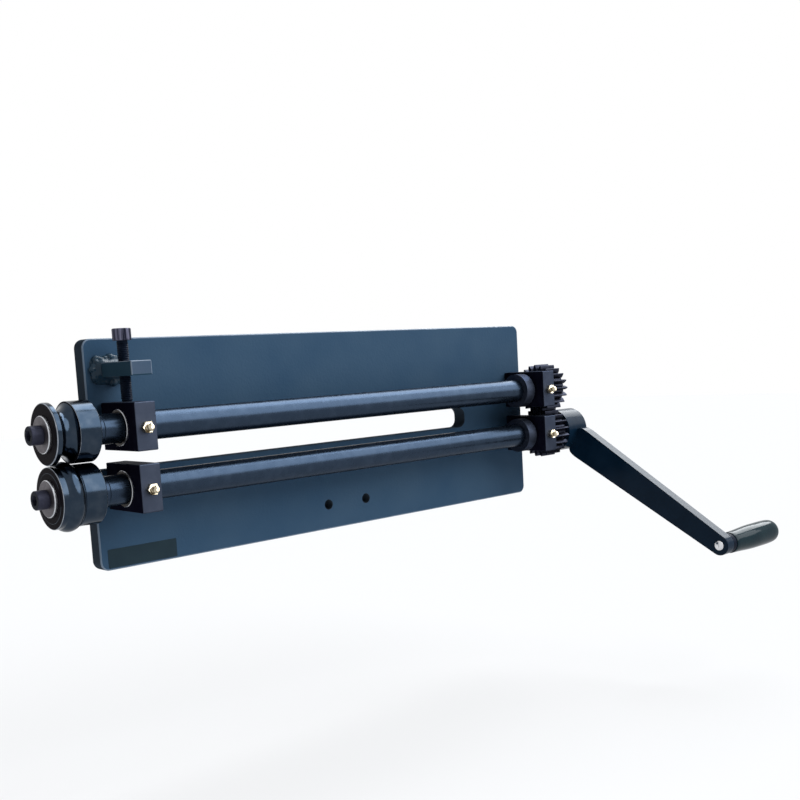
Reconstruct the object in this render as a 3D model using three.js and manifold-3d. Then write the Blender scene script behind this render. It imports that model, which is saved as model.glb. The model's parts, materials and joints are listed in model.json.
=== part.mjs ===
// Bead roller: two geared shafts in a slotted frame plate, turned by a hand crank.
// Millimetres. +X runs along the shafts from the dies to the crank, -Y faces the shafts' side, +Z is up.
// The origin is on the plate's back face, halfway between the two mounting holes.
import * as THREE from "three";
import { mergeVertices } from "three/addons/utils/BufferGeometryUtils.js";
import Module from "manifold-3d";

const wasm = await Module();
wasm.setup();

// Driving dimensions

// Frame plate with its throat, an open slot from the left end
const plateLength = 555;
const plateHeight = 200;
const plateThickness = 16;
const plateCornerRadius = 8;
const throatDepth = 457;
const throatHeight = 22;
const throatCornerRadius = 9;
const throatDrop = 1.5;
const mountingHoleDiameter = 10;
const mountingHoleSpacing = 50;
const mountingHoleHeight = 25;

// Shafts
const shaftSpacing = 51.4;
const shaftStandoff = 30.5;
const shaftDiameter = 25.4;
const spigotDiameter = 22;
const shaftEndChamfer = 1;

// Bearing blocks, alike at the four places
const blockWidth = 19;
const blockDepth = 59;
const blockHeight = 40.5;
const blockRise = 0.75;
const blockChamfer = 0.8;
const frontBlockInset = 12.5;
const rearBlockInset = 7.5;

// Flanged bushes
const bushBodyDiameter = 28.6;
const bushFlangeDiameter = 31;
const bushFlangeThickness = 1.5;
const bushFlangeChamfer = 0.4;
const greaseBoreDiameter = 3;

// Grease fittings
const fittingHexWidth = 9;
const fittingHexHeight = 4;
const fittingThreadDiameter = 6;
const fittingThreadLength = 5;
const fittingNeckDiameter = 4.4;
const fittingNeckLength = 1.8;
const fittingBallDiameter = 6.4;
const fittingBallLength = 4.2;
const fittingTipDiameter = 3.2;

// Socket head cap screws: adjusting screw and die screws
const capHeadDiameter = 16;
const capHeadHeight = 10;
const capHeadChamfer = 0.7;
const capSocketWidth = 8;
const capSocketDepth = 5;
const capThreadDiameter = 9.8;
const dieScrewLength = 28;
const adjusterStickOut = 17.5;

// Adjuster bracket, welded to the plate
const bracketThickness = 12;
const bracketGap = 21.8;
const weldLeg = 8;
const weldToe = 1;

// Dies
const dieDiameter = 50.8;
const dieLength = 38;
const dieEdgeChamfer = 0.8;
const dieFaceBevelWidth = 4.8;
const dieFaceBevelDepth = 0.4;
const dieRimWidth = 4.5;
const grooveWidth = 15;
const grooveDepth = 6.5;
const beadWidth = 13;
const beadHeight = 3.2;
const dieShoulderGap = 28;
const dieKeyWidth = 5;
const dieKeyLength = 28;
const dieWasherDiameter = 30.6;
const dieWasherThickness = 2.5;

// Rear collars with their set screws
const collarDiameter = 38;
const collarWidth = 12.8;
const collarBossDiameter = 30;
const collarBossLength = 2.6;
const collarChamfer = 0.8;
const setScrewDiameter = 6;
const setScrewLength = 5;
const setScrewSocketWidth = 3;
const setScrewSocketDepth = 2;

// Gears: equal spur gears, involute teeth
const gearTeeth = 20;
const gearModule = 2.5;
const pressureAngleDegrees = 20;
const gearAddendum = 2.7;
const gearRootClearance = 0.9;
const gearBacklashGap = 0.8;
const gearWidth = 24.5;
const gearBossDiameter = 36;
const gearBossLength = 5;
const gearKeyLength = 22;
const retainingRingDiameter = 30;
const retainingRingThickness = 1.5;
const retainingGrooveDepth = 1.1;
const retainingRingOpening = 7;
const upperShaftTail = 3;

// Crank
const crankRadius = 243;
const crankRestAngleDegrees = 30.5;
const crankHubDiameter = 49;
const crankHubLength = 32.5;
const crankHubChamfer = 2;
const crankArmThickness = 12.2;
const crankArmSetback = 14;
const crankArmRootWidth = 38.6;
const crankArmEndWidth = 21.7;
const crankNeckWidth = 24;
const crankShoulderReach = 34;
const crankKeyLength = 29;
const crankShaftRecess = 1;
const driveKeyWidth = 6.35;
const crankScrewDiameter = 8;
const crankScrewLength = 9;
const crankScrewSocketWidth = 4;
const crankScrewSocketDepth = 4;

// Grip on its pin
const pinHeadDiameter = 11;
const pinHeadHeight = 2.8;
const pinDiameter = 10;
const gripCollarDiameter = 21.6;
const gripCollarLength = 6.2;
const gripLength = 90.5;
const gripStartDiameter = 23.2;
const gripWaistDiameter = 24;
const gripSwellDiameter = 25.2;
const gripMiddleDiameter = 26.6;
const gripBellyDiameter = 27.2;
const gripShoulderDiameter = 26.4;
const gripCrownDiameter = 24;
const gripCapDiameter = 17;
const gripEndWall = 9;
const snapRingThickness = 1.2;
const snapRingReach = 1.2;
const snapRingSetback = 3;
const snapRingOpening = 3;

// Fixed block screws, in counterbores at the plate's back
const blockScrewDiameter = 8;
const blockScrewHeadDiameter = 13;
const blockScrewHeadHeight = 8;
const blockScrewSocketWidth = 6;
const blockScrewSocketDepth = 4;
const blockScrewSpacing = 17;
const blockScrewDrop = 4.5;
const counterboreDepth = 8.6;
const counterboreMargin = 0.4;
const tappedDepth = 12;

// Guide bolt at the front and pivot bolt at the rear of the tilting upper arm
const shoulderDiameter = 12;
const boltThreadDiameter = 10;
const boltThreadLength = 11;
const boltHeadWidth = 17;
const boltHeadHeight = 7;
const boltWasherDiameter = 24;
const boltWasherThickness = 2.5;
const guideBoltRise = 2.8;
const guideTravel = 8.2;

// Clearances
const runningClearance = 0.1;
const slipClearance = 0.1;
const seatClearance = 0.3;
const slideClearance = 0.3;
const threadClearance = 0.1;
const tipClearance = 1;
const overrun = 1;
const mergeTolerance = 1e-4;

// Facets
const roundSides = 28;
const smallSides = 12;
const arcSteps = 4;
const flankSteps = 2;
const hexSides = 6;

// Places worked out from the dimensions
const plateLeft = -plateLength / 2;
const plateRight = plateLength / 2;
const plateBottom = -mountingHoleHeight;
const plateTop = plateBottom + plateHeight;
const plateFront = -plateThickness;
const throatMiddle = plateBottom + plateHeight / 2 - throatDrop;
const throatEnd = plateLeft + throatDepth;
const shaftY = plateFront - shaftStandoff;
const upperZ = throatMiddle + shaftSpacing / 2;
const lowerZ = throatMiddle - shaftSpacing / 2;
const frontBlockX = plateLeft + frontBlockInset;
const rearBlockX = plateRight - rearBlockInset - blockWidth;
const frontMiddleX = frontBlockX + blockWidth / 2;
const rearMiddleX = rearBlockX + blockWidth / 2;
const blockFront = plateFront - blockDepth;
const shaftRadius = shaftDiameter / 2;
const spigotRadius = spigotDiameter / 2;
const bushBodyRadius = bushBodyDiameter / 2;
const dieRadius = dieDiameter / 2;
const shoulderX = frontBlockX - dieShoulderGap;
const dieLeft = shoulderX - dieLength;
const spigotEnd = dieLeft + seatClearance;
const collarRight = rearBlockX - bushFlangeThickness - seatClearance;
const collarLeft = collarRight - collarBossLength - collarWidth;
const gearLeft = rearBlockX + blockWidth + seatClearance;
const gearRight = gearLeft + gearWidth;
const bossRight = gearRight + gearBossLength;
const crankHubLeft = bossRight + seatClearance;
const crankHubRight = crankHubLeft + crankHubLength;
const armLeft = crankHubLeft + crankArmSetback;
const armRight = armLeft + crankArmThickness;
const lowerShaftEnd = crankHubRight - crankShaftRecess;
const ringLeft = bossRight + seatClearance;
const upperShaftEnd = ringLeft + retainingRingThickness + upperShaftTail;
const guideBoltZ = upperZ + guideBoltRise;
const upperBlockTop = upperZ + blockRise + blockHeight / 2;
const bracketBottom = upperBlockTop + bracketGap;
const bracketTop = bracketBottom + bracketThickness;
const bracketMiddleY = plateFront - blockDepth / 2;
const adjusterTip = upperBlockTop + seatClearance;
const adjusterSeat = bracketTop + adjusterStickOut;

// Materials
const paint = (color, roughness, metalness = 0) =>
  new THREE.MeshStandardMaterial({ color, roughness, metalness });
const slatePaint = paint(0x2c3a49, 0.5);
const blackOxide = paint(0x15181d, 0.35, 0.8);
const blackSteel = paint(0x1b1f26, 0.45, 0.7);
const bareSteel = paint(0x8d8f92, 0.4, 1);
const bronze = paint(0xa8834a, 0.4, 1);
const zinc = paint(0xd9cfa8, 0.3, 1);
const crankPaint = paint(0x17222e, 0.35);
const gripPlastic = paint(0x1d2a30, 0.2);

// Geometry helpers

// A closed three.js geometry as a solid.
function solid(geometry) {
  const bare = new THREE.BufferGeometry();
  bare.setAttribute("position", geometry.getAttribute("position"));
  if (geometry.index) bare.setIndex(geometry.index);
  const merged = mergeVertices(bare, mergeTolerance);
  const mesh = new wasm.Mesh({
    numProp: 3,
    vertProperties: merged.attributes.position.array,
    triVerts: new Uint32Array(merged.index.array),
  });
  return new wasm.Manifold(mesh);
}

// A solid as a three.js geometry, with a vertex normal for each flat face.
function geometryOf(body) {
  const mesh = body.getMesh();
  const geometry = new THREE.BufferGeometry();
  geometry.setAttribute("position", new THREE.BufferAttribute(mesh.vertProperties, 3));
  geometry.setIndex(new THREE.BufferAttribute(mesh.triVerts, 1));
  const flat = geometry.toNonIndexed();
  flat.computeVertexNormals();
  return flat;
}

const cut = (body, ...tools) => tools.reduce((left, tool) => left.subtract(tool), body);
const join = (body, ...others) => others.reduce((left, other) => left.add(other), body);

// Radius of a many-sided hole whose flats clear a round of the given radius.
const holeRadius = (radius, sides = roundSides) => radius / Math.cos(Math.PI / sides);

// A box given by its lowest and highest corners.
function block(low, high) {
  const size = high.map((value, i) => value - low[i]);
  const geometry = new THREE.BoxGeometry(...size);
  geometry.translate(...low.map((value, i) => value + size[i] / 2));
  return solid(geometry);
}

// A body turned about the X axis. Each station is [radius, x], from low x to high x along the outside.
function turned(stations, sides = roundSides) {
  const points = stations.map(([radius, x]) => new THREE.Vector2(radius, x));
  const geometry = new THREE.LatheGeometry(points, sides);
  geometry.rotateZ(-Math.PI / 2);
  return solid(geometry);
}

// A round bar along X.
const rod = (radius, from, to, sides = roundSides) =>
  turned([[0, from], [radius, from], [radius, to], [0, to]], sides);

// A round bar along X with both its edges chamfered.
const chamferedRod = (radius, from, to, chamfer, sides = roundSides) =>
  turned([[0, from], [radius - chamfer, from], [radius, from + chamfer],
    [radius, to - chamfer], [radius - chamfer, to], [0, to]], sides);

// A hexagonal bar along X, given by its width across flats.
function hexRod(width, from, to) {
  const across = width / 2 / Math.cos(Math.PI / hexSides);
  return rod(across, from, to, hexSides);
}

// An outline in the plane of the plate (x, z), from one y to a larger y.
function plateCut(shape, fromY, toY) {
  const settings = { depth: toY - fromY, bevelEnabled: false, curveSegments: arcSteps };
  const geometry = new THREE.ExtrudeGeometry(shape, settings);
  geometry.rotateX(Math.PI / 2);
  geometry.translate(0, toY, 0);
  return solid(geometry);
}

// An outline across the shafts (y, z), from one x to a larger x.
function crossCut(shape, fromX, toX) {
  const settings = { depth: toX - fromX, bevelEnabled: false, curveSegments: smallSides };
  const geometry = new THREE.ExtrudeGeometry(shape, settings);
  geometry.applyMatrix4(new THREE.Matrix4().makeBasis(
    new THREE.Vector3(0, 1, 0), new THREE.Vector3(0, 0, 1), new THREE.Vector3(1, 0, 0)));
  geometry.translate(fromX, 0, 0);
  return solid(geometry);
}

// A solid about the X axis turned to lie about the Y axis (its +X end goes to -Y) and moved.
function alongY(body, x, y, z) {
  return body.rotate([0, 0, -90]).translate([x, y, z]);
}

// A solid about the X axis stood up about the Z axis (its +X end goes up) and moved.
function alongZ(body, x, y, z) {
  return body.rotate([0, -90, 0]).translate([x, y, z]);
}

// A rectangle with rounded corners.
function roundedRectangle(left, bottom, right, top, radius) {
  const shape = new THREE.Shape();
  shape.moveTo(left + radius, bottom);
  shape.lineTo(right - radius, bottom);
  shape.absarc(right - radius, bottom + radius, radius, -Math.PI / 2, 0);
  shape.lineTo(right, top - radius);
  shape.absarc(right - radius, top - radius, radius, 0, Math.PI / 2);
  shape.lineTo(left + radius, top);
  shape.absarc(left + radius, top - radius, radius, Math.PI / 2, Math.PI);
  shape.lineTo(left, bottom + radius);
  shape.absarc(left + radius, bottom + radius, radius, Math.PI, Math.PI * 1.5);
  return shape;
}

// Fasteners, each along +X with the seat under its head at x = 0 and its head at negative x

function capScrew(headDiameter, headHeight, threadDiameter, length, socketWidth, socketDepth, chamfer) {
  const headRadius = headDiameter / 2;
  const threadRadius = threadDiameter / 2;
  const body = turned([[0, -headHeight], [headRadius - chamfer, -headHeight],
    [headRadius, chamfer - headHeight], [headRadius, 0], [threadRadius, 0], [threadRadius, length - chamfer],
    [threadRadius - chamfer, length], [0, length]], smallSides);
  return cut(body, hexRod(socketWidth, -headHeight - overrun, socketDepth - headHeight));
}

function shoulderBolt(shoulderLength) {
  const shoulderRadius = shoulderDiameter / 2;
  const threadRadius = boltThreadDiameter / 2;
  const end = shoulderLength + boltThreadLength;
  const shank = turned([[0, -boltHeadHeight / 2], [shoulderRadius, -boltHeadHeight / 2],
    [shoulderRadius, shoulderLength], [threadRadius, shoulderLength], [threadRadius, end],
    [0, end]], smallSides);
  return join(hexRod(boltHeadWidth, -boltHeadHeight, 0), shank);
}

function setScrew(diameter, length, socketWidth, socketDepth) {
  const radius = diameter / 2;
  return cut(rod(radius, 0, length, smallSides), hexRod(socketWidth, -overrun, socketDepth));
}

function washer(outerDiameter, innerRadius, from, to, sides = roundSides) {
  return cut(rod(outerDiameter / 2, from, to, sides), rod(innerRadius, from - overrun, to + overrun, sides));
}

// Frame plate

function framePlate() {
  const through = plateThickness + overrun;
  const outline = roundedRectangle(plateLeft, plateBottom, plateRight, plateTop, plateCornerRadius);
  const slotLow = throatMiddle - throatHeight / 2;
  const slotHigh = throatMiddle + throatHeight / 2;
  const slot = roundedRectangle(plateLeft - throatDepth, slotLow, throatEnd, slotHigh, throatCornerRadius);
  const lowest = plateFront - overrun;
  const mountingRadius = holeRadius(mountingHoleDiameter / 2, smallSides);
  const mountingHoles = [-1, 1].map((side) =>
    alongY(rod(mountingRadius, -overrun, through, smallSides), side * mountingHoleSpacing / 2, 0, 0));
  const pivotRadius = holeRadius(shoulderDiameter / 2 + runningClearance);
  const pivotHole = alongY(rod(pivotRadius, -overrun, through), rearMiddleX, 0, upperZ);
  const guideHalf = shoulderDiameter / 2 + slideClearance;
  const guideSlot = roundedRectangle(frontMiddleX - guideHalf, guideBoltZ - guideHalf,
    frontMiddleX + guideHalf, guideBoltZ + guideTravel + guideHalf, guideHalf - slipClearance);
  const screwRadius = holeRadius(blockScrewDiameter / 2 + slipClearance, smallSides);
  const counterboreRadius = blockScrewHeadDiameter / 2 + counterboreMargin;
  const screwHoles = lowerScrewPlaces().flatMap(([x, z]) => [
    alongY(rod(screwRadius, -overrun, through, smallSides), x, 0, z),
    alongY(rod(counterboreRadius, -overrun, counterboreDepth, smallSides), x, 0, z),
  ]);
  return cut(plateCut(outline, plateFront, 0), plateCut(slot, lowest, overrun),
    plateCut(guideSlot, lowest, overrun), pivotHole, ...mountingHoles, ...screwHoles);
}

function lowerScrewPlaces() {
  const middle = lowerZ - blockScrewDrop;
  return [frontMiddleX, rearMiddleX].flatMap((x) =>
    [-1, 1].map((side) => [x, middle + side * blockScrewSpacing / 2]));
}

function lowerBlockScrew() {
  const length = plateThickness - counterboreDepth + tappedDepth - tipClearance;
  return capScrew(blockScrewHeadDiameter, blockScrewHeadHeight, blockScrewDiameter, length,
    blockScrewSocketWidth, blockScrewSocketDepth, capHeadChamfer);
}

// Bearing blocks, about the shaft axis: x from 0 to the width, y and z from the axis

function bearingBlock(backGap, tappedHoles) {
  const back = shaftStandoff - backGap;
  const front = shaftStandoff - blockDepth;
  const low = blockRise - blockHeight / 2;
  const high = blockRise + blockHeight / 2;
  const shape = new THREE.Shape();
  const c = blockChamfer;
  shape.moveTo(front + c, low);
  shape.lineTo(back, low);
  shape.lineTo(back, high);
  shape.lineTo(front + c, high);
  shape.lineTo(front, high - c);
  shape.lineTo(front, low + c);
  const body = crossCut(shape, 0, blockWidth);
  const bore = rod(holeRadius(bushBodyRadius + slipClearance), -overrun, blockWidth + overrun);
  const fittingRadius = holeRadius(fittingThreadDiameter / 2 + threadClearance, smallSides);
  const fittingDepth = fittingThreadLength + tipClearance;
  const fittingHole = alongY(rod(fittingRadius, 0, fittingDepth + overrun, smallSides),
    blockWidth / 2, front + fittingDepth, 0);
  const greaseBore = alongY(rod(greaseBoreDiameter / 2, 0, -front, smallSides), blockWidth / 2, 0, 0);
  return cut(body, bore, fittingHole, greaseBore, ...tappedHoles(back));
}

function tappedHole(diameter, depth, back, z) {
  const radius = holeRadius(diameter / 2 + threadClearance, smallSides);
  return alongY(rod(radius, -overrun, depth, smallSides), blockWidth / 2, back, z);
}

const lowerBlock = () => bearingBlock(0, (back) => [-1, 1].map((side) =>
  tappedHole(blockScrewDiameter, tappedDepth, back, side * blockScrewSpacing / 2 - blockScrewDrop)));
const upperFrontBlock = () => bearingBlock(slideClearance, (back) =>
  [tappedHole(boltThreadDiameter, tappedDepth, back, guideBoltRise)]);
const upperRearBlock = () => bearingBlock(slideClearance, (back) =>
  [tappedHole(boltThreadDiameter, tappedDepth, back, 0)]);

// A bush with its flange at negative x, seated against a block that starts at x = 0.
function flangedBush() {
  const flangeRadius = bushFlangeDiameter / 2;
  const bore = holeRadius(shaftRadius + runningClearance);
  const body = turned([[0, -bushFlangeThickness], [flangeRadius - bushFlangeChamfer, -bushFlangeThickness],
    [flangeRadius, bushFlangeChamfer - bushFlangeThickness], [flangeRadius, 0], [bushBodyRadius, 0],
    [bushBodyRadius, blockWidth], [0, blockWidth]]);
  const greaseBore = alongY(
    rod(greaseBoreDiameter / 2, 0, bushFlangeDiameter, smallSides), blockWidth / 2, 0, 0);
  return cut(body, rod(bore, -bushFlangeThickness - overrun, blockWidth + overrun), greaseBore);
}

// A grease fitting along +X, its hexagon seated on a face at x = 0 and its thread at negative x.
function greaseFitting() {
  const neck = fittingNeckDiameter / 2;
  const ball = fittingBallDiameter / 2;
  const tip = fittingTipDiameter / 2;
  const neckEnd = fittingHexHeight + fittingNeckLength;
  const stem = turned([[0, -fittingThreadLength], [fittingThreadDiameter / 2, -fittingThreadLength],
    [fittingThreadDiameter / 2, fittingHexHeight / 2], [neck, fittingHexHeight / 2], [neck, neckEnd],
    [ball, neckEnd + fittingBallLength / 5], [ball, neckEnd + fittingBallLength / 2],
    [tip, neckEnd + fittingBallLength], [0, neckEnd + fittingBallLength]], smallSides);
  return join(hexRod(fittingHexWidth, 0, fittingHexHeight), stem);
}

// Adjuster bracket and its weld, in the part's frame

function adjusterBracket() {
  const body = block([frontBlockX, blockFront, bracketBottom],
    [frontBlockX + blockWidth, plateFront, bracketTop]);
  const hole = alongZ(rod(holeRadius(capThreadDiameter / 2 + threadClearance, smallSides), -overrun,
    bracketThickness + overrun, smallSides), frontMiddleX, bracketMiddleY, bracketBottom);
  return cut(body, hole);
}

function bracketWeld() {
  const left = frontBlockX;
  const right = frontBlockX + blockWidth;
  const low = bracketBottom;
  const high = bracketTop;
  // A frustum on the plate, with its small end on the bar, less the bar itself.
  const corners = [];
  for (const [grow, y] of [[weldLeg, plateFront], [weldToe, plateFront - weldLeg]]) {
    corners.push([left - grow, y, low - grow], [right + grow, y, low - grow],
      [right + grow, y, high + grow], [left - grow, y, high + grow]);
  }
  const faces = [0, 2, 1, 0, 3, 2, 4, 5, 6, 4, 6, 7];
  for (let i = 0; i < 4; i++) {
    const next = (i + 1) % 4;
    faces.push(i, next, i + 4, next, next + 4, i + 4);
  }
  const geometry = new THREE.BufferGeometry();
  geometry.setAttribute("position", new THREE.Float32BufferAttribute(corners.flat(), 3));
  geometry.setIndex(faces);
  const bar = block([left, blockFront, low], [right, plateFront + overrun, high]);
  return cut(solid(geometry), bar);
}

function adjustingScrew() {
  return capScrew(capHeadDiameter, capHeadHeight, capThreadDiameter, adjusterSeat - adjusterTip,
    capSocketWidth, capSocketDepth, capHeadChamfer);
}

// Dies, about the shaft axis in the part's x

function dieBody(profile) {
  const bore = rod(holeRadius(spigotRadius + slipClearance), dieLeft - overrun, shoulderX + overrun);
  const half = dieKeyWidth / 2 + slipClearance;
  const keyway = block([dieLeft - overrun, -half, 0], [shoulderX + overrun, half, spigotRadius + half]);
  return cut(turned(profile), bore, keyway);
}

// Points of a round groove (negative height) or bead (positive height) between two x on the land.
function roundForm(from, to, height) {
  const half = (to - from) / 2;
  const rise = Math.abs(height);
  const radius = (half * half + rise * rise) / (2 * rise);
  const sweep = Math.asin(Math.min(1, half / radius));
  const points = [];
  for (let i = 0; i <= arcSteps * 2; i++) {
    const angle = -sweep + (sweep * i) / arcSteps;
    const lift = radius * Math.cos(angle) - radius + rise;
    points.push([dieRadius + Math.sign(height) * lift, from + half + radius * Math.sin(angle)]);
  }
  return points;
}

function upperDie() {
  const grooveStart = dieLeft + dieRimWidth;
  return dieBody([[0, dieLeft], [dieRadius - dieEdgeChamfer, dieLeft], [dieRadius, dieLeft + dieEdgeChamfer],
    ...roundForm(grooveStart, grooveStart + grooveWidth, -grooveDepth),
    [dieRadius, shoulderX - dieEdgeChamfer], [dieRadius - dieEdgeChamfer, shoulderX], [0, shoulderX]]);
}

function lowerDie() {
  const beadStart = dieLeft + dieRimWidth + (grooveWidth - beadWidth) / 2;
  return dieBody([[0, dieLeft], [dieRadius - dieFaceBevelWidth, dieLeft],
    [dieRadius, dieLeft + dieFaceBevelDepth],
    ...roundForm(beadStart, beadStart + beadWidth, beadHeight),
    [dieRadius, shoulderX - dieEdgeChamfer], [dieRadius - dieEdgeChamfer, shoulderX], [0, shoulderX]]);
}

function dieKey() {
  const half = dieKeyWidth / 2;
  return block([shoulderX - dieKeyLength, -half, spigotRadius - half],
    [shoulderX - tipClearance, half, spigotRadius + half]);
}

// Space of a square key and its slot in a shaft, sunk to half its width.
function keyway(radius, width, from, to) {
  const half = width / 2 + slipClearance;
  return block([from, -half, radius - half], [to, half, radius + half]);
}

function driveKey(from, length) {
  const half = driveKeyWidth / 2;
  return block([from, -half, shaftRadius - half], [from + length, half, shaftRadius + half]);
}

const gearKeyX = gearLeft + (gearWidth - gearKeyLength) / 2;
const crankKeyX = crankHubLeft + (crankHubLength - crankShaftRecess - crankKeyLength) / 2;

function shaft(end) {
  const c = shaftEndChamfer;
  const body = turned([[0, spigotEnd], [spigotRadius - c, spigotEnd], [spigotRadius, spigotEnd + c],
    [spigotRadius, shoulderX], [shaftRadius, shoulderX], [shaftRadius, end - c], [shaftRadius - c, end],
    [0, end]]);
  const screwHole = rod(holeRadius(capThreadDiameter / 2 + threadClearance, smallSides), spigotEnd - overrun,
    dieLeft - dieWasherThickness + dieScrewLength + tipClearance, smallSides);
  return cut(body, screwHole, keyway(spigotRadius, dieKeyWidth, spigotEnd - overrun, shoulderX),
    keyway(shaftRadius, driveKeyWidth, gearKeyX - slipClearance, gearKeyX + gearKeyLength + slipClearance));
}

// The crank's keyway is turned with the crank, by its angle at rest.
function lowerShaft() {
  const crankKeyway = keyway(shaftRadius, driveKeyWidth, crankKeyX - slipClearance, lowerShaftEnd + overrun);
  return cut(shaft(lowerShaftEnd), crankKeyway.rotate([crankRestAngleDegrees, 0, 0]));
}

function upperShaft() {
  const floor = shaftRadius - retainingGrooveDepth;
  const groove = washer(shaftDiameter + retainingRingDiameter, floor, ringLeft - slipClearance,
    ringLeft + retainingRingThickness + slipClearance);
  return cut(shaft(upperShaftEnd), groove);
}

// An open ring in a groove of the given floor radius, its gap at +Z.
function openRing(outerDiameter, floorRadius, thickness, opening, from, sides = roundSides) {
  const inner = holeRadius(floorRadius + slipClearance, sides);
  const ring = washer(outerDiameter, inner, from, from + thickness, sides);
  const half = opening / 2;
  return cut(ring, block([from - overrun, -half, 0], [from + thickness + overrun, half, outerDiameter]));
}

function dieWasher() {
  return washer(dieWasherDiameter, holeRadius(capThreadDiameter / 2 + slipClearance),
    dieLeft - dieWasherThickness, dieLeft);
}

function dieScrew() {
  return capScrew(capHeadDiameter, capHeadHeight, capThreadDiameter, dieScrewLength, capSocketWidth,
    capSocketDepth, capHeadChamfer).translate([dieLeft - dieWasherThickness, 0, 0]);
}

// A ring with a low boss that runs against the rear bush's flange.
function rearCollar() {
  const ring = chamferedRod(collarDiameter / 2, collarLeft, collarLeft + collarWidth, collarChamfer);
  const boss = rod(collarBossDiameter / 2, collarLeft + collarWidth - overrun, collarRight);
  const bore = rod(holeRadius(shaftRadius + slipClearance), collarLeft - overrun, collarRight + overrun);
  const screwRadius = holeRadius(setScrewDiameter / 2 + threadClearance, smallSides);
  const screwHole = alongY(rod(screwRadius, -collarDiameter, 0, smallSides), collarLeft + collarWidth / 2, 0, 0);
  return cut(join(ring, boss), bore, screwHole);
}

// The collar's set screw points from the back towards the shaft.
function collarSetScrew() {
  const screw = setScrew(setScrewDiameter, setScrewLength, setScrewSocketWidth, setScrewSocketDepth);
  return alongY(screw, collarLeft + collarWidth / 2, shaftRadius + seatClearance + setScrewLength, 0);
}

// Gears

// Outline of the toothed gear, with one tooth centred on the first axis.
function gearOutline() {
  const pressureAngle = (pressureAngleDegrees * Math.PI) / 180;
  const baseRadius = (gearModule * gearTeeth * Math.cos(pressureAngle)) / 2;
  const workingRadius = shaftSpacing / 2;
  const workingAngle = Math.acos(baseRadius / workingRadius);
  const tipRadius = workingRadius + gearAddendum;
  const rootRadius = workingRadius - gearAddendum - gearRootClearance;
  const involute = (angle) => Math.tan(angle) - angle;
  const halfTooth = (Math.PI / gearTeeth - gearBacklashGap / 2 / workingRadius) / 2;
  const halfAngleAt = (radius) =>
    halfTooth + involute(workingAngle) - involute(Math.acos(Math.min(1, baseRadius / radius)));
  const flankStart = Math.max(baseRadius, rootRadius);
  const points = [];
  for (let tooth = 0; tooth < gearTeeth; tooth++) {
    const centre = (tooth * 2 * Math.PI) / gearTeeth;
    const flank = [];
    for (let i = 0; i <= flankSteps; i++) {
      const radius = flankStart + ((tipRadius - flankStart) * i) / flankSteps;
      flank.push([radius, halfAngleAt(radius)]);
    }
    const half = [[rootRadius, halfAngleAt(flankStart)], ...flank];
    for (const [radius, angle] of half) points.push([radius, centre - angle]);
    for (const [radius, angle] of half.reverse()) points.push([radius, centre + angle]);
  }
  return new THREE.Shape(points.map(([radius, angle]) =>
    new THREE.Vector2(radius * Math.cos(angle), radius * Math.sin(angle))));
}

// A gear about the X axis with one tooth centred on +Y, turned by a share of a tooth.
function gear(turnShare) {
  const toothed = crossCut(gearOutline(), gearLeft, gearRight).rotate([(turnShare * 360) / gearTeeth, 0, 0]);
  const boss = chamferedRod(gearBossDiameter / 2, gearRight - overrun, bossRight, bushFlangeChamfer);
  const bore = rod(holeRadius(shaftRadius + slipClearance), gearLeft - overrun, bossRight + overrun);
  return cut(join(toothed, boss), bore,
    keyway(shaftRadius, driveKeyWidth, gearLeft - overrun, bossRight + overrun));
}

// Crank, about the lower shaft's axis, its arm towards -Y

// The arm widens in round shoulders from its neck at the hub, then tapers evenly to its round end.
function crankArm() {
  const neck = crankNeckWidth / 2;
  const root = crankArmRootWidth / 2;
  const end = crankArmEndWidth / 2;
  const hubEdge = -Math.sqrt((crankHubDiameter / 2) ** 2 - neck ** 2);
  const shoulder = root + ((end - root) * crankShoulderReach) / crankRadius;
  const outline = new THREE.Shape();
  outline.moveTo(0, -neck);
  outline.lineTo(0, neck);
  outline.lineTo(hubEdge, neck);
  outline.quadraticCurveTo(hubEdge, shoulder, -crankShoulderReach, shoulder);
  outline.lineTo(-crankRadius, end);
  outline.absarc(-crankRadius, 0, end, Math.PI / 2, Math.PI * 1.5);
  outline.lineTo(-crankShoulderReach, -shoulder);
  outline.quadraticCurveTo(hubEdge, -shoulder, hubEdge, -neck);
  const hub = chamferedRod(crankHubDiameter / 2, crankHubLeft, crankHubRight, crankHubChamfer);
  const bore = rod(holeRadius(shaftRadius + slipClearance), crankHubLeft - overrun, crankHubRight + overrun);
  const pinHole = rod(holeRadius(pinDiameter / 2 + slipClearance, smallSides), armLeft - overrun,
    armRight + overrun, smallSides).translate([0, -crankRadius, 0]);
  const screwRadius = holeRadius(crankScrewDiameter / 2 + threadClearance, smallSides);
  const screwHole = alongY(rod(screwRadius, -crankHubDiameter, 0, smallSides),
    (crankHubLeft + crankHubRight) / 2, 0, 0);
  return cut(join(crossCut(outline, armLeft, armRight), hub), bore, pinHole, screwHole,
    keyway(shaftRadius, driveKeyWidth, crankHubLeft - overrun, crankHubRight + overrun));
}

function crankSetScrew() {
  const screw = setScrew(crankScrewDiameter, crankScrewLength, crankScrewSocketWidth, crankScrewSocketDepth);
  return alongY(screw, (crankHubLeft + crankHubRight) / 2, shaftRadius + seatClearance + crankScrewLength, 0);
}

// Grip and pin, about the pin's own axis in the part's x

const collarStart = armRight + seatClearance;
const gripStart = collarStart + gripCollarLength + seatClearance;
const gripEnd = gripStart + gripLength;
const pinEnd = gripEnd - gripEndWall - tipClearance;
const snapRingX = pinEnd - snapRingSetback - snapRingThickness;
const pinRadius = pinDiameter / 2;

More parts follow.
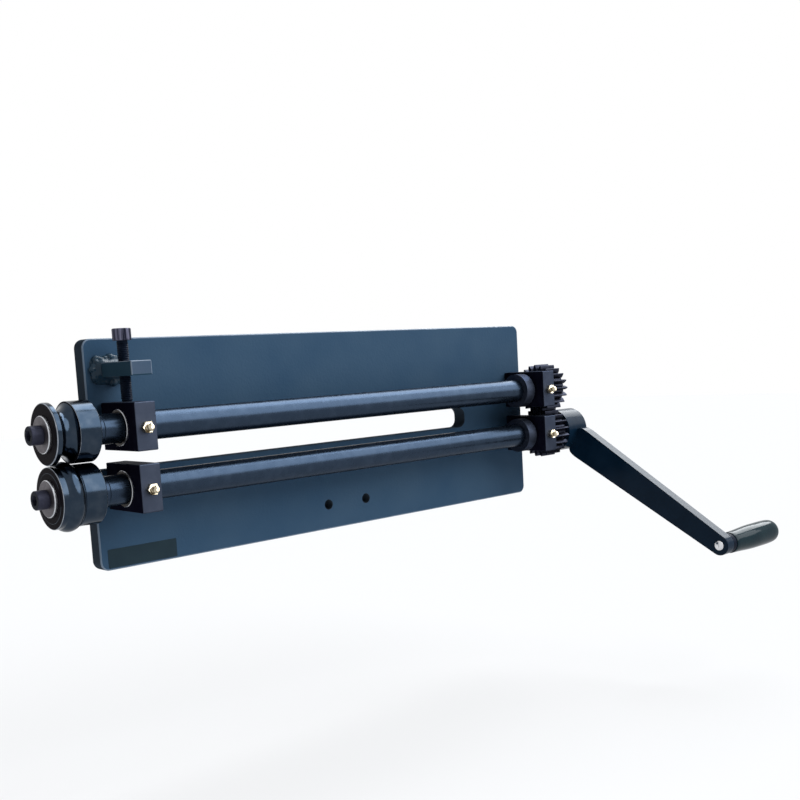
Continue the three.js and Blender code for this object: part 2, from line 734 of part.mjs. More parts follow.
function gripPin() {
  const head = pinHeadDiameter / 2;
  const headLeft = armLeft - pinHeadHeight;
  const body = turned([[0, headLeft], [head / 2, headLeft],
    [head - pinHeadHeight / 4, headLeft + pinHeadHeight / 4], [head, headLeft + pinHeadHeight / 2],
    [head, armLeft], [pinRadius, armLeft], [pinRadius, pinEnd], [0, pinEnd]], smallSides);
  return cut(body, washer(gripStartDiameter, pinRadius - snapRingReach / 2, snapRingX - slipClearance,
    snapRingX + snapRingThickness + slipClearance, smallSides));
}

function gripCollar() {
  return washer(gripCollarDiameter, holeRadius(pinRadius + slipClearance, smallSides), collarStart,
    collarStart + gripCollarLength);
}

// Places along the grip, as shares of its length, and the diameter at each.
const gripLengthShares = [0.12, 0.26, 0.4, 0.52, 0.82, 0.915, 0.97];
const gripDiameters = [gripWaistDiameter, gripSwellDiameter, gripMiddleDiameter, gripBellyDiameter,
  gripBellyDiameter, gripShoulderDiameter, gripCrownDiameter];

function grip() {
  const body = turned([[0, gripStart], [gripStartDiameter / 2, gripStart],
    ...gripDiameters.map((diameter, i) => [diameter / 2, gripStart + gripLength * gripLengthShares[i]]),
    [gripCapDiameter / 2, gripEnd], [0, gripEnd]]);
  const bore = rod(holeRadius(pinRadius + runningClearance, smallSides), gripStart - overrun,
    gripEnd - gripEndWall, smallSides);
  const roomRadius = holeRadius(pinRadius + snapRingReach + runningClearance, smallSides);
  const ringRoom = rod(roomRadius, snapRingX - runningClearance,
    snapRingX + snapRingThickness + runningClearance, smallSides);
  return cut(body, bore, ringRoom);
}

function gripSnapRing() {
  return openRing(pinDiameter + snapRingReach * 2, pinRadius - snapRingReach / 2, snapRingThickness,
    snapRingOpening, snapRingX, smallSides);
}

// Assembly

const roller = new THREE.Group();

function place(group, name, body, material) {
  const mesh = new THREE.Mesh(geometryOf(body), material);
  mesh.name = name;
  group.add(mesh);
  return mesh;
}

function subgroup(parent, x, y, z) {
  const group = new THREE.Group();
  group.position.set(x, y, z);
  parent.add(group);
  return group;
}

// Fixed frame
place(roller, "frame_plate", framePlate(), slatePaint);
place(roller, "adjuster_bracket", adjusterBracket(), slatePaint);
place(roller, "bracket_weld", bracketWeld(), slatePaint);
lowerScrewPlaces().forEach(([x, z], index) => {
  const screw = place(roller, `lower_block_screw_${index + 1}`, lowerBlockScrew(), blackOxide);
  screw.rotation.z = -Math.PI / 2;
  screw.position.set(x, -counterboreDepth, z);
});

// Bearing blocks with their bushes and grease fittings
const lines = { lower: lowerZ, upper: upperZ };
const blocks = {
  lower_front: lowerBlock,
  lower_rear: lowerBlock,
  upper_front: upperFrontBlock,
  upper_rear: upperRearBlock,
};
for (const [corner, makeBlock] of Object.entries(blocks)) {
  const [line, end] = corner.split("_");
  const station = subgroup(roller, end === "rear" ? rearBlockX : frontBlockX, shaftY, lines[line]);
  place(station, `${corner}_block`, makeBlock(), blackSteel);
  place(station, `${corner}_bush`, flangedBush(), bronze);
  const fitting = place(station, `${corner}_grease_fitting`, greaseFitting(), zinc);
  fitting.rotation.z = -Math.PI / 2;
  fitting.position.set(blockWidth / 2, shaftStandoff - blockDepth, 0);
}

// Bolts that carry the tilting upper arm, through the plate from its back
const shoulderLength = plateThickness + boltWasherThickness + seatClearance * 2 + slideClearance;
for (const [name, x, z] of [["guide", frontMiddleX, guideBoltZ], ["pivot", rearMiddleX, upperZ]]) {
  const bolt = place(roller, `${name}_bolt`, shoulderBolt(shoulderLength), blackOxide);
  bolt.rotation.z = -Math.PI / 2;
  bolt.position.set(x, boltWasherThickness + seatClearance * 2, z);
  const ring = place(roller, `${name}_washer`, washer(boltWasherDiameter,
    holeRadius(shoulderDiameter / 2 + slipClearance), 0, boltWasherThickness), bareSteel);
  ring.rotation.z = -Math.PI / 2;
  ring.position.set(x, boltWasherThickness + seatClearance, z);
}

// Adjusting screw, its tip on the upper front block
const adjuster = place(roller, "adjusting_screw", adjustingScrew(), blackOxide);
adjuster.rotation.y = Math.PI / 2;
adjuster.position.set(frontMiddleX, bracketMiddleY, adjusterSeat);

// Lower shaft line
const lowerLine = subgroup(roller, 0, shaftY, lowerZ);
place(lowerLine, "lower_shaft", lowerShaft(), blackOxide);
place(lowerLine, "lower_die", lowerDie(), blackOxide);
place(lowerLine, "lower_die_key", dieKey(), bareSteel);
place(lowerLine, "lower_die_washer", dieWasher(), bareSteel);
place(lowerLine, "lower_die_screw", dieScrew(), blackOxide);
place(lowerLine, "lower_rear_collar", rearCollar(), blackSteel);
place(lowerLine, "lower_collar_set_screw", collarSetScrew(), blackOxide);
place(lowerLine, "lower_gear", gear(1 / 2), blackSteel);
place(lowerLine, "lower_gear_key", driveKey(gearKeyX, gearKeyLength), bareSteel);

// Upper shaft line
const upperLine = subgroup(roller, 0, shaftY, upperZ);
place(upperLine, "upper_shaft", upperShaft(), blackOxide);
place(upperLine, "upper_die", upperDie(), blackOxide);
place(upperLine, "upper_die_key", dieKey(), bareSteel);
place(upperLine, "upper_die_washer", dieWasher(), bareSteel);
place(upperLine, "upper_die_screw", dieScrew(), blackOxide);
place(upperLine, "upper_rear_collar", rearCollar(), blackSteel);
place(upperLine, "upper_collar_set_screw", collarSetScrew(), blackOxide);
place(upperLine, "upper_gear", gear(0), blackSteel);
place(upperLine, "upper_gear_key", driveKey(gearKeyX, gearKeyLength), bareSteel);
place(upperLine, "upper_gear_ring", openRing(retainingRingDiameter, shaftRadius - retainingGrooveDepth,
  retainingRingThickness, retainingRingOpening, ringLeft), blackOxide);

// Crank, hanging a little below level towards the shafts' side
const crank = subgroup(lowerLine, 0, 0, 0);
crank.rotation.x = (crankRestAngleDegrees * Math.PI) / 180;
place(crank, "crank_arm", crankArm(), crankPaint);
place(crank, "crank_key", driveKey(crankKeyX, crankKeyLength), bareSteel);
place(crank, "crank_set_screw", crankSetScrew(), blackOxide);
const gripLine = subgroup(crank, 0, -crankRadius, 0);
place(gripLine, "grip_pin", gripPin(), bareSteel);
place(gripLine, "grip_collar", gripCollar(), blackSteel);
place(gripLine, "grip", grip(), gripPlastic);
place(gripLine, "grip_snap_ring", gripSnapRing(), bareSteel);

export default roller;
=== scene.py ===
"""The looks of a hand-cranked bead roller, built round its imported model.

Metres throughout. +X runs along the shafts from the dies to the crank, -Y faces the operator and +Z is up.
"""

import json
import logging
import random
from dataclasses import dataclass, replace
from enum import Enum
from functools import cache
from math import acos, copysign, cos, pi, radians, sin, sqrt, tan
from typing import Callable, Iterable, Sequence

import bpy
from mathutils import Euler, Matrix, Vector


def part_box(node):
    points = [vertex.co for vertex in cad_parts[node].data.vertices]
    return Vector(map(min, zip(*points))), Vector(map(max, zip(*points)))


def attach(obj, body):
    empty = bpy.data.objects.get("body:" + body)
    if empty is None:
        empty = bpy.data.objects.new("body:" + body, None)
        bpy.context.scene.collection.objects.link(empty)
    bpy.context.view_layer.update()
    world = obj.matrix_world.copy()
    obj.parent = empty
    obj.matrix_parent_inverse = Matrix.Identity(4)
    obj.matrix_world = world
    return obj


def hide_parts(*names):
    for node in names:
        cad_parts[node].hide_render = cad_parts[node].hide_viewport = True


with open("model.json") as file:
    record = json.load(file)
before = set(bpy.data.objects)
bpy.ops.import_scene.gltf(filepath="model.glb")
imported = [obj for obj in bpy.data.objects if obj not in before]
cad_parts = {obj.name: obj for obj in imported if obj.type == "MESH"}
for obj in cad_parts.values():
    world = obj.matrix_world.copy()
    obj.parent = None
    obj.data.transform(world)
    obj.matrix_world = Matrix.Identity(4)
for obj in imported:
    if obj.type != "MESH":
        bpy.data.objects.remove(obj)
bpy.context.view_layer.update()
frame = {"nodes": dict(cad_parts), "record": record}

LOG = logging.getLogger("bead_roller")
MM = 0.001
BODY_OF = {node: body for body, nodes in frame["record"]["behaviour"]["bodies"].items() for node in nodes}
Station = tuple[float, float]
Color = tuple[float, float, float]


class Heading(Enum):
    """The way a turned piece's length points, as the turn from +X that gets it there."""

    RIGHT = (0.0, 0.0, 0.0)
    FORWARD = (0.0, 0.0, -pi / 2)
    BACK = (0.0, 0.0, pi / 2)
    DOWN = (0.0, pi / 2, 0.0)


class Line(Enum):
    """One of the two shaft lines."""

    LOWER = "lower"
    UPPER = "upper"


class End(Enum):
    """The end of the machine that a bearing block stands at."""

    FRONT = "front"
    REAR = "rear"


# Modelling


class Bench:
    """Modelling steps that every sub-assembly shares. Each works on one piece, with all else deselected."""

    ROUND_SEGMENTS = 96
    MERGE_DISTANCE = 1e-6

    @staticmethod
    def pick(piece: bpy.types.Object) -> None:
        """Selects one piece alone and makes it the active one.

        Args:
            piece: The piece to work on.
        """
        bpy.ops.object.select_all(action="DESELECT")
        piece.select_set(True)
        bpy.context.view_layer.objects.active = piece

    @staticmethod
    def name_new(name: str) -> bpy.types.Object:
        """Names the object that a primitive has just added.

        Args:
            name: The piece's name.

        Returns:
            The new object.
        """
        piece = bpy.context.object
        piece.name = name
        piece.data.name = name
        return piece

    @staticmethod
    def settle() -> None:
        """Puts the active piece's place, turn and scale into its mesh."""
        bpy.ops.object.transform_apply(location=True, rotation=True, scale=True)

    @staticmethod
    def crosses(start: Vector, end: Vector) -> bool:
        """Says whether an edge runs along Y, through the plate, and not in the plate's plane."""
        return abs(start.y - end.y) > 0.1 * MM

    @classmethod
    def place(cls, piece: bpy.types.Object, at: Sequence[float], heading: Heading) -> None:
        """Turns a piece modelled along +X at the origin and moves it to its place.

        Args:
            piece: The piece.
            at: Where its origin goes.
            heading: The way its +X end points.
        """
        cls.pick(piece)
        piece.rotation_euler = Euler(heading.value)
        piece.location = at
        cls.settle()

    @classmethod
    def seat(cls, piece: bpy.types.Object, axis: Vector) -> None:
        """Moves a piece turned about the X axis onto a shaft's axis."""
        cls.place(piece, (0.0, axis.y, axis.z), Heading.RIGHT)

    @classmethod
    def block(cls, name: str, low: Sequence[float], high: Sequence[float]) -> bpy.types.Object:
        """Adds a box between two corners.

        Args:
            name: The box's name.
            low: Its lowest corner.
            high: Its highest corner.

        Returns:
            The box.
        """
        bpy.ops.object.select_all(action="DESELECT")
        low, high = Vector(low), Vector(high)
        bpy.ops.mesh.primitive_cube_add(size=1.0, location=(low + high) / 2, scale=high - low)
        piece = cls.name_new(name)
        cls.settle()
        return piece

    @classmethod
    def bar(
        cls, name: str, radius: float, start: float, end: float, sides: int = ROUND_SEGMENTS
    ) -> bpy.types.Object:
        """Adds a bar of a given number of sides along the X axis.

        Args:
            name: The bar's name.
            radius: Radius to its corners.
            start: Where it starts along X.
            end: Where it ends along X.
            sides: How many sides it has.

        Returns:
            The bar.
        """
        bpy.ops.object.select_all(action="DESELECT")
        bpy.ops.mesh.primitive_cylinder_add(
            vertices=sides, radius=radius, depth=end - start, rotation=(0.0, pi / 2, 0.0),
            location=((start + end) / 2, 0.0, 0.0),
        )
        piece = cls.name_new(name)
        cls.settle()
        return piece

    @classmethod
    def draw(cls, name: str, points: Sequence[Sequence[float]]) -> bpy.types.Object:
        """Draws a chain of edges, by extruding one vertex from point to point, and leaves it in edit mode.

        Args:
            name: The new object's name.
            points: The chain's points.

        Returns:
            The object, in edit mode with all of it selected.
        """
        bpy.ops.object.select_all(action="DESELECT")
        bpy.ops.mesh.primitive_plane_add(size=MM)
        piece = cls.name_new(name)
        bpy.ops.object.mode_set(mode="EDIT")
        bpy.ops.mesh.select_mode(type="VERT")
        bpy.ops.mesh.select_all(action="SELECT")
        bpy.ops.mesh.merge(type="CENTER")
        bpy.ops.transform.translate(value=Vector(points[0]))
        for before, after in zip(points, points[1:]):
            step = Vector(after) - Vector(before)
            bpy.ops.mesh.extrude_region_move(TRANSFORM_OT_translate={"value": step})
        bpy.ops.mesh.select_all(action="SELECT")
        return piece

    @classmethod
    def turn(
        cls, name: str, stations: Sequence[Station], segments: int = ROUND_SEGMENTS
    ) -> bpy.types.Object:
        """Turns a profile about the X axis, as on a lathe.

        Args:
            name: The piece's name.
            stations: Pairs of place along X and radius, from axis to axis or closed on themselves.
            segments: How many steps make the full turn.

        Returns:
            The turned piece.
        """
        piece = cls.draw(name, [(along, 0.0, radius) for along, radius in stations])
        bpy.ops.mesh.spin(steps=segments, angle=2 * pi, center=(0.0, 0.0, 0.0), axis=(1.0, 0.0, 0.0))
        bpy.ops.mesh.select_all(action="SELECT")
        bpy.ops.mesh.remove_doubles(threshold=cls.MERGE_DISTANCE)
        bpy.ops.mesh.normals_make_consistent(inside=False)
        bpy.ops.object.mode_set(mode="OBJECT")
        return piece

    @classmethod
    def tube(cls, name: str, start: float, end: float, inside: float, outside: float) -> bpy.types.Object:
        """Turns a plain ring about the X axis.

        Args:
            name: The ring's name.
            start: Where it starts along X.
            end: Where it ends along X.
            inside: Its inner radius.
            outside: Its outer radius.

        Returns:
            The ring.
        """
        corners = [(start, inside), (start, outside), (end, outside), (end, inside), (start, inside)]
        return cls.turn(name, corners)

    @classmethod
    def slab(
        cls, name: str, outline: Sequence[tuple[float, float]], start: float, end: float
    ) -> bpy.types.Object:
        """Extrudes a closed outline across the shafts.

        Args:
            name: The slab's name.
            outline: Its corners as (y, z), once round and not repeated.
            start: Where it starts along X.
            end: Where it ends along X.

        Returns:
            The slab.
        """
        piece = cls.draw(name, [(start, y, z) for y, z in outline])
        bpy.ops.mesh.edge_face_add()
        bpy.ops.mesh.extrude_region_move(TRANSFORM_OT_translate={"value": (end - start, 0.0, 0.0)})
        bpy.ops.mesh.select_all(action="SELECT")
        bpy.ops.mesh.normals_make_consistent(inside=False)
        bpy.ops.object.mode_set(mode="OBJECT")
        return piece

    @classmethod
    def apply(cls, piece: bpy.types.Object, kind: str, **settings: object) -> None:
        """Gives a piece one modifier and applies it.

        Args:
            piece: The piece.
            kind: The modifier's type.
            settings: The modifier's settings.
        """
        cls.pick(piece)
        step = piece.modifiers.new("step", kind)
        for key, value in settings.items():
            setattr(step, key, value)
        bpy.ops.object.modifier_apply(modifier=step.name)

    @classmethod
    def combine(cls, piece: bpy.types.Object, tool: bpy.types.Object, operation: str) -> None:
        """Changes a piece by a solid tool and removes the tool.

        Args:
            piece: The piece.
            tool: The tool.
            operation: UNION, DIFFERENCE or INTERSECT.
        """
        cls.apply(piece, "BOOLEAN", operation=operation, object=tool, solver="EXACT")
        bpy.data.objects.remove(tool)

    @classmethod
    def join(cls, pieces: Sequence[bpy.types.Object]) -> None:
        """Puts the meshes of several pieces into the first one.

        Args:
            pieces: The pieces, of which only the first is left.
        """
        cls.pick(pieces[0])
        for piece in pieces[1:]:
            piece.select_set(True)
        bpy.ops.object.join()

    @classmethod
    def carve(cls, piece: bpy.types.Object, *tools: bpy.types.Object) -> None:
        """Cuts tools out of a piece, one after the other.

        Args:
            piece: The piece to cut.
            tools: The solids to take away.
        """
        for tool in tools:
            cls.combine(piece, tool, "DIFFERENCE")

    @classmethod
    def weld(cls, piece: bpy.types.Object, *tools: bpy.types.Object) -> None:
        """Joins other solids to a piece, one after the other.

        Args:
            piece: The piece that is kept.
            tools: The solids to join to it.
        """
        for tool in tools:
            cls.combine(piece, tool, "UNION")

    @classmethod
    def mark(cls, piece: bpy.types.Object, wanted: Callable[[bpy.types.MeshPolygon], bool]) -> None:
        """Opens a piece in edit mode with only the wanted faces selected.

        Args:
            piece: The piece.
            wanted: Says of a face whether it is to be selected.
        """
        cls.pick(piece)
        bpy.ops.object.mode_set(mode="EDIT")
        bpy.ops.mesh.select_mode(type="FACE")
        bpy.ops.mesh.select_all(action="DESELECT")
        bpy.ops.object.mode_set(mode="OBJECT")
        for face in piece.data.polygons:
            face.select = wanted(face)
        bpy.ops.object.mode_set(mode="EDIT")

    @classmethod
    def round_corners(
        cls, piece: bpy.types.Object, radius: float, wanted: Callable[[Vector, Vector], bool],
        segments: int = 10,
    ) -> None:
        """Rounds chosen edges of a piece with the bevel operator.

        Args:
            piece: The piece.
            radius: Radius of the rounding.
            wanted: Says of an edge's two ends whether it is to be rounded.
            segments: How many flats make the rounding.
        """
        cls.pick(piece)
        bpy.ops.object.mode_set(mode="EDIT")
        bpy.ops.mesh.select_mode(type="EDGE")
        bpy.ops.mesh.select_all(action="DESELECT")
        bpy.ops.object.mode_set(mode="OBJECT")
        corners = piece.data.vertices
        for edge in piece.data.edges:
            edge.select = wanted(*(corners[index].co for index in edge.vertices))
        bpy.ops.object.mode_set(mode="EDIT")
        bpy.ops.mesh.bevel(offset=radius, segments=segments, affect="EDGES")
        bpy.ops.object.mode_set(mode="OBJECT")

    @classmethod
    def finish_edges(
        cls, piece: bpy.types.Object, width: float, segments: int = 3, above: float = radians(30.0)
    ) -> None:
        """Breaks a piece's sharp edges with a small round and smooths its shading.

        Args:
            piece: The piece.
            width: Width of the round.
            segments: How many flats make it.
            above: Edges with a larger angle than this are rounded.
        """
        cls.apply(
            piece, "BEVEL", width=width, segments=segments, limit_method="ANGLE", angle_limit=above,
            use_clamp_overlap=True,
        )
        cls.smooth(piece)

    @classmethod
    def smooth(cls, piece: bpy.types.Object, above: float = radians(40.0)) -> None:
        """Smooths a piece's shading, with its flat faces left flat.

        Args:
            piece: The piece.
            above: Edges with a larger angle than this stay sharp.
        """
        cls.pick(piece)
        bpy.ops.object.shade_smooth_by_angle(angle=above)
        cls.apply(piece, "WEIGHTED_NORMAL", keep_sharp=True)


# Finishes


class Socket:
    """A shader socket on which Python's arithmetic adds Math nodes."""

    def __init__(self, sheet: "NodeSheet", link: bpy.types.NodeSocket) -> None:
        """Wraps a socket of a sheet's node tree."""
        self.sheet = sheet
        self.link = link

    def _math(self, operation: str, first: "Socket | float", second: "Socket | float") -> "Socket":
        """Adds one Math node."""
        return self.sheet.value("ShaderNodeMath", {"operation": operation}, {0: first, 1: second})

    def __add__(self, other: "Socket | float") -> "Socket":
        """Adds."""
        return self._math("ADD", self, other)

    __radd__ = __add__

    def __mul__(self, other: "Socket | float") -> "Socket":
        """Multiplies."""
        return self._math("MULTIPLY", self, other)

    __rmul__ = __mul__

    def stretch(self, low: float, high: float) -> "Socket":
        """Spreads a stretch of values over 0 to 1 and clamps it.

        Args:
            low: The value that becomes 0.
            high: The value that becomes 1.

        Returns:
            The spread value.
        """
        inputs = {"Value": self, "From Min": low, "From Max": high}
        return self.sheet.value("ShaderNodeMapRange", {"clamp": True}, inputs)


class NodeSheet:
    """A node tree, of a material or of the world."""

    def __init__(self, tree: bpy.types.NodeTree) -> None:
        """Takes over a node tree."""
        self.tree = tree

    def node(
        self, kind: str, settings: dict[str, object] | None = None,
        inputs: dict[str | int, object] | None = None,
    ) -> bpy.types.Node:
        """Adds a node.

        Args:
            kind: The node's type.
            settings: Its settings, made before its sockets are filled.
            inputs: Values or sockets for its inputs, by name or number.

        Returns:
            The node.
        """
        node = self.tree.nodes.new(kind)
        for key, value in (settings or {}).items():
            setattr(node, key, value)
        for key, value in (inputs or {}).items():
            self.feed(node.inputs[key], value)
        return node

    def feed(self, target: bpy.types.NodeSocket, value: object) -> None:
        """Links a socket to an input, or sets the input's own value.

        Args:
            target: The input.
            value: A Socket, or a plain value.
        """
        if isinstance(value, Socket):
            self.tree.links.new(value.link, target)
        else:
            target.default_value = value

    def value(self, kind: str, settings: dict[str, object], inputs: dict[str | int, object]) -> Socket:
        """Adds a node and gives its first output in use.

        Args:
            kind: The node's type.
            settings: Its settings.
            inputs: Its inputs.

        Returns:
            The output.
        """
        node = self.node(kind, settings, inputs)
        return Socket(self, next(output for output in node.outputs if output.enabled))

    def seen(self) -> Socket:
        """Tells apart the rays that show a backdrop from those that only light the machine.

        Returns:
            1 for a ray from the camera, off a glossy surface or through glass, and 0 for any other.
        """
        path = self.node("ShaderNodeLightPath")
        seen = Socket(self, path.outputs["Is Camera Ray"])
        for ray in ("Is Glossy Ray", "Is Transmission Ray"):
            inputs = {0: seen, 1: Socket(self, path.outputs[ray])}
            seen = self.value("ShaderNodeMath", {"operation": "MAXIMUM"}, inputs)
        return seen


class ShaderSheet(NodeSheet):
    """The node tree of one new material, with what its finishes share."""

    def __init__(self, name: str) -> None:
        """Starts a material with only its Principled shader.

        Args:
            name: The material's name.
        """
        self.material = bpy.data.materials.new(name)
        self.material.use_nodes = True
        super().__init__(self.material.node_tree)
        self.shader = self.tree.nodes["Principled BSDF"]

    def place(self, stretch: Sequence[float] = (1.0, 1.0, 1.0)) -> Socket:
        """Gives the piece's own coordinates, stretched along its axes.

        Args:
            stretch: Factors along X, Y and Z.

        Returns:
            The coordinates.
        """
        coordinates = Socket(self, self.node("ShaderNodeTexCoord").outputs["Object"])
        inputs = {"Vector": coordinates, "Scale": tuple(stretch)}
        return self.value("ShaderNodeMapping", {}, inputs)

    def noise(self, size: float, detail: float = 3.0, stretch: Sequence[float] = (1.0, 1.0, 1.0)) -> Socket:
        """Adds a noise whose cells are of a given size.

        Args:
            size: The size of its cells, in metres.
            detail: How many finer layers lie on it.
            stretch: Factors on the coordinates.

        Returns:
            The noise, from 0 to 1.
        """
        inputs = {"Vector": self.place(stretch), "Scale": 1.0 / size, "Detail": detail}
        return self.value("ShaderNodeTexNoise", {}, inputs)

    def dents(self, size: float) -> Socket:
        """Adds smooth round dents of a given size.

        Args:
            size: The distance between dents, in metres.

        Returns:
            The height, lowest in each dent's middle.
        """
        settings = {"feature": "SMOOTH_F1"}
        inputs = {"Vector": self.place(), "Scale": 1.0 / size, "Smoothness": 0.6}
        return self.value("ShaderNodeTexVoronoi", settings, inputs)

    def blend(self, mask: "Socket | float", low: Sequence[float], high: Sequence[float]) -> Socket:
        """Mixes two colours by a mask.

        Args:
            mask: 0 gives the first colour and 1 the second.
            low: The first colour.
            high: The second colour.

        Returns:
            The mixed colour.
        """
        node = self.node("ShaderNodeMix", {"data_type": "RGBA"})
        for name, value in (("Factor", mask), ("A", (*low, 1.0)), ("B", (*high, 1.0))):
            target = next(socket for socket in node.inputs if socket.name == name and socket.enabled)
            self.feed(target, value)
        return Socket(self, next(output for output in node.outputs if output.enabled))

    def relief(self, height: Socket, depth: float) -> Socket:
        """Turns a height into a bumped normal.

        Args:
            height: The height, from 0 to 1.
            depth: What a height of 1 stands for, in metres.

        Returns:
            The normal.
        """
        inputs = {"Height": height, "Distance": depth, "Strength": 1.0}
        return self.value("ShaderNodeBump", {}, inputs)

    def dress(self, **inputs: object) -> bpy.types.Material:
        """Fills the Principled shader.

        Args:
            inputs: Its inputs, with underscores for spaces.

        Returns:
            The finished material.
        """
        for key, value in inputs.items():
            self.feed(self.shader.inputs[key.replace("_", " ").title().replace("Ior", "IOR")], value)
        return self.material


@dataclass(frozen=True)
class Paint:
    """Sprayed enamel with a hammered surface."""

    name: str
    color: Color
    light: Color
    roughness: float
    dent_size: float
    dent_depth: float
    gloss: float

    def make(self) -> bpy.types.Material:
        """Builds the material.

        Returns:
            The material.
        """
        sheet = ShaderSheet(self.name)
        drift = sheet.noise(60 * MM, detail=2.0)
        grain = sheet.noise(self.dent_size / 2, detail=4.0)
        height = sheet.dents(self.dent_size) * 0.7 + grain * 0.5
        return sheet.dress(
            base_color=sheet.blend(drift.stretch(0.3, 0.7), self.color, self.light),
            roughness=grain * 0.16 + (self.roughness - 0.08),
            normal=sheet.relief(height, self.dent_depth),
            specular_ior_level=self.gloss,
        )


@dataclass(frozen=True)
class BlackSteel:
    """Blackened steel, turned or ground, with faint tool marks, and painted highlight streaks where they are
    asked for.
    """

    name: str
    color: Color
    worn: Color
    roughness: float
    metallic: float
    mark_size: float
    mark_depth: float
    gloss: float
    edge: float = 1.0
    stretch: tuple[float, float, float] = (1.0, 1.0, 1.0)
    highlight_streaks: float = 0.0

    def make(self) -> bpy.types.Material:
        """Builds the material.

        Returns:
            The material.
        """
        sheet = ShaderSheet(self.name)
        cloud = sheet.noise(9 * MM, detail=4.0)
        marks = sheet.noise(self.mark_size, detail=3.0, stretch=self.stretch)
        wear = cloud.stretch(0.45, 0.8) * 0.7
        # Highlight streaks lay the worn colour along the stretched marks as painted highlight streaks.
        if self.highlight_streaks:
            wear = wear * (1.0 - self.highlight_streaks) + marks.stretch(0.46, 0.6) * self.highlight_streaks
        return sheet.dress(
            base_color=sheet.blend(wear, self.color, self.worn),
            metallic=self.metallic,
            roughness=cloud * 0.14 + marks * 0.1 + (self.roughness - 0.12),
            normal=sheet.relief(marks, self.mark_depth),
            specular_ior_level=self.gloss,
            specular_tint=(self.edge, self.edge, self.edge, 1.0),
        )


@dataclass(frozen=True)
class BareSteel:
    """Bare or plated metal with a grain."""

    name: str
    color: Color
    dull: Color
    roughness: float
    grain_size: float
    grain_depth: float

    def make(self) -> bpy.types.Material:
        """Builds the material.

        Returns:
            The material.
        """
        sheet = ShaderSheet(self.name)
        grain = sheet.noise(self.grain_size, detail=4.0)
        mask = sheet.noise(6 * MM, detail=3.0) * 0.6 + grain * 0.5
        return sheet.dress(
            base_color=sheet.blend(mask.stretch(0.35, 0.75), self.color, self.dull),
            metallic=1.0,
            roughness=grain * 0.2 + (self.roughness - 0.1),
            normal=sheet.relief(grain, self.grain_depth),
        )


@dataclass(frozen=True)
class Gloss:
    """Smooth glossy paint or plastic with a clear top."""

    name: str
    color: Color
    light: Color
    roughness: float
    ripple_size: float
    ripple_depth: float
    coat: float
    gloss: float

    def make(self) -> bpy.types.Material:
        """Builds the material.

        Returns:
            The material.
        """
        sheet = ShaderSheet(self.name)
        drift = sheet.noise(25 * MM, detail=3.0)
        ripple = sheet.noise(self.ripple_size, detail=2.0)
        return sheet.dress(
            base_color=sheet.blend(drift.stretch(0.35, 0.75), self.color, self.light),
            roughness=drift * 0.1 + (self.roughness - 0.05),
            normal=sheet.relief(ripple, self.ripple_depth),
            specular_ior_level=self.gloss,
            coat_weight=self.coat,
            coat_roughness=0.08,
        )


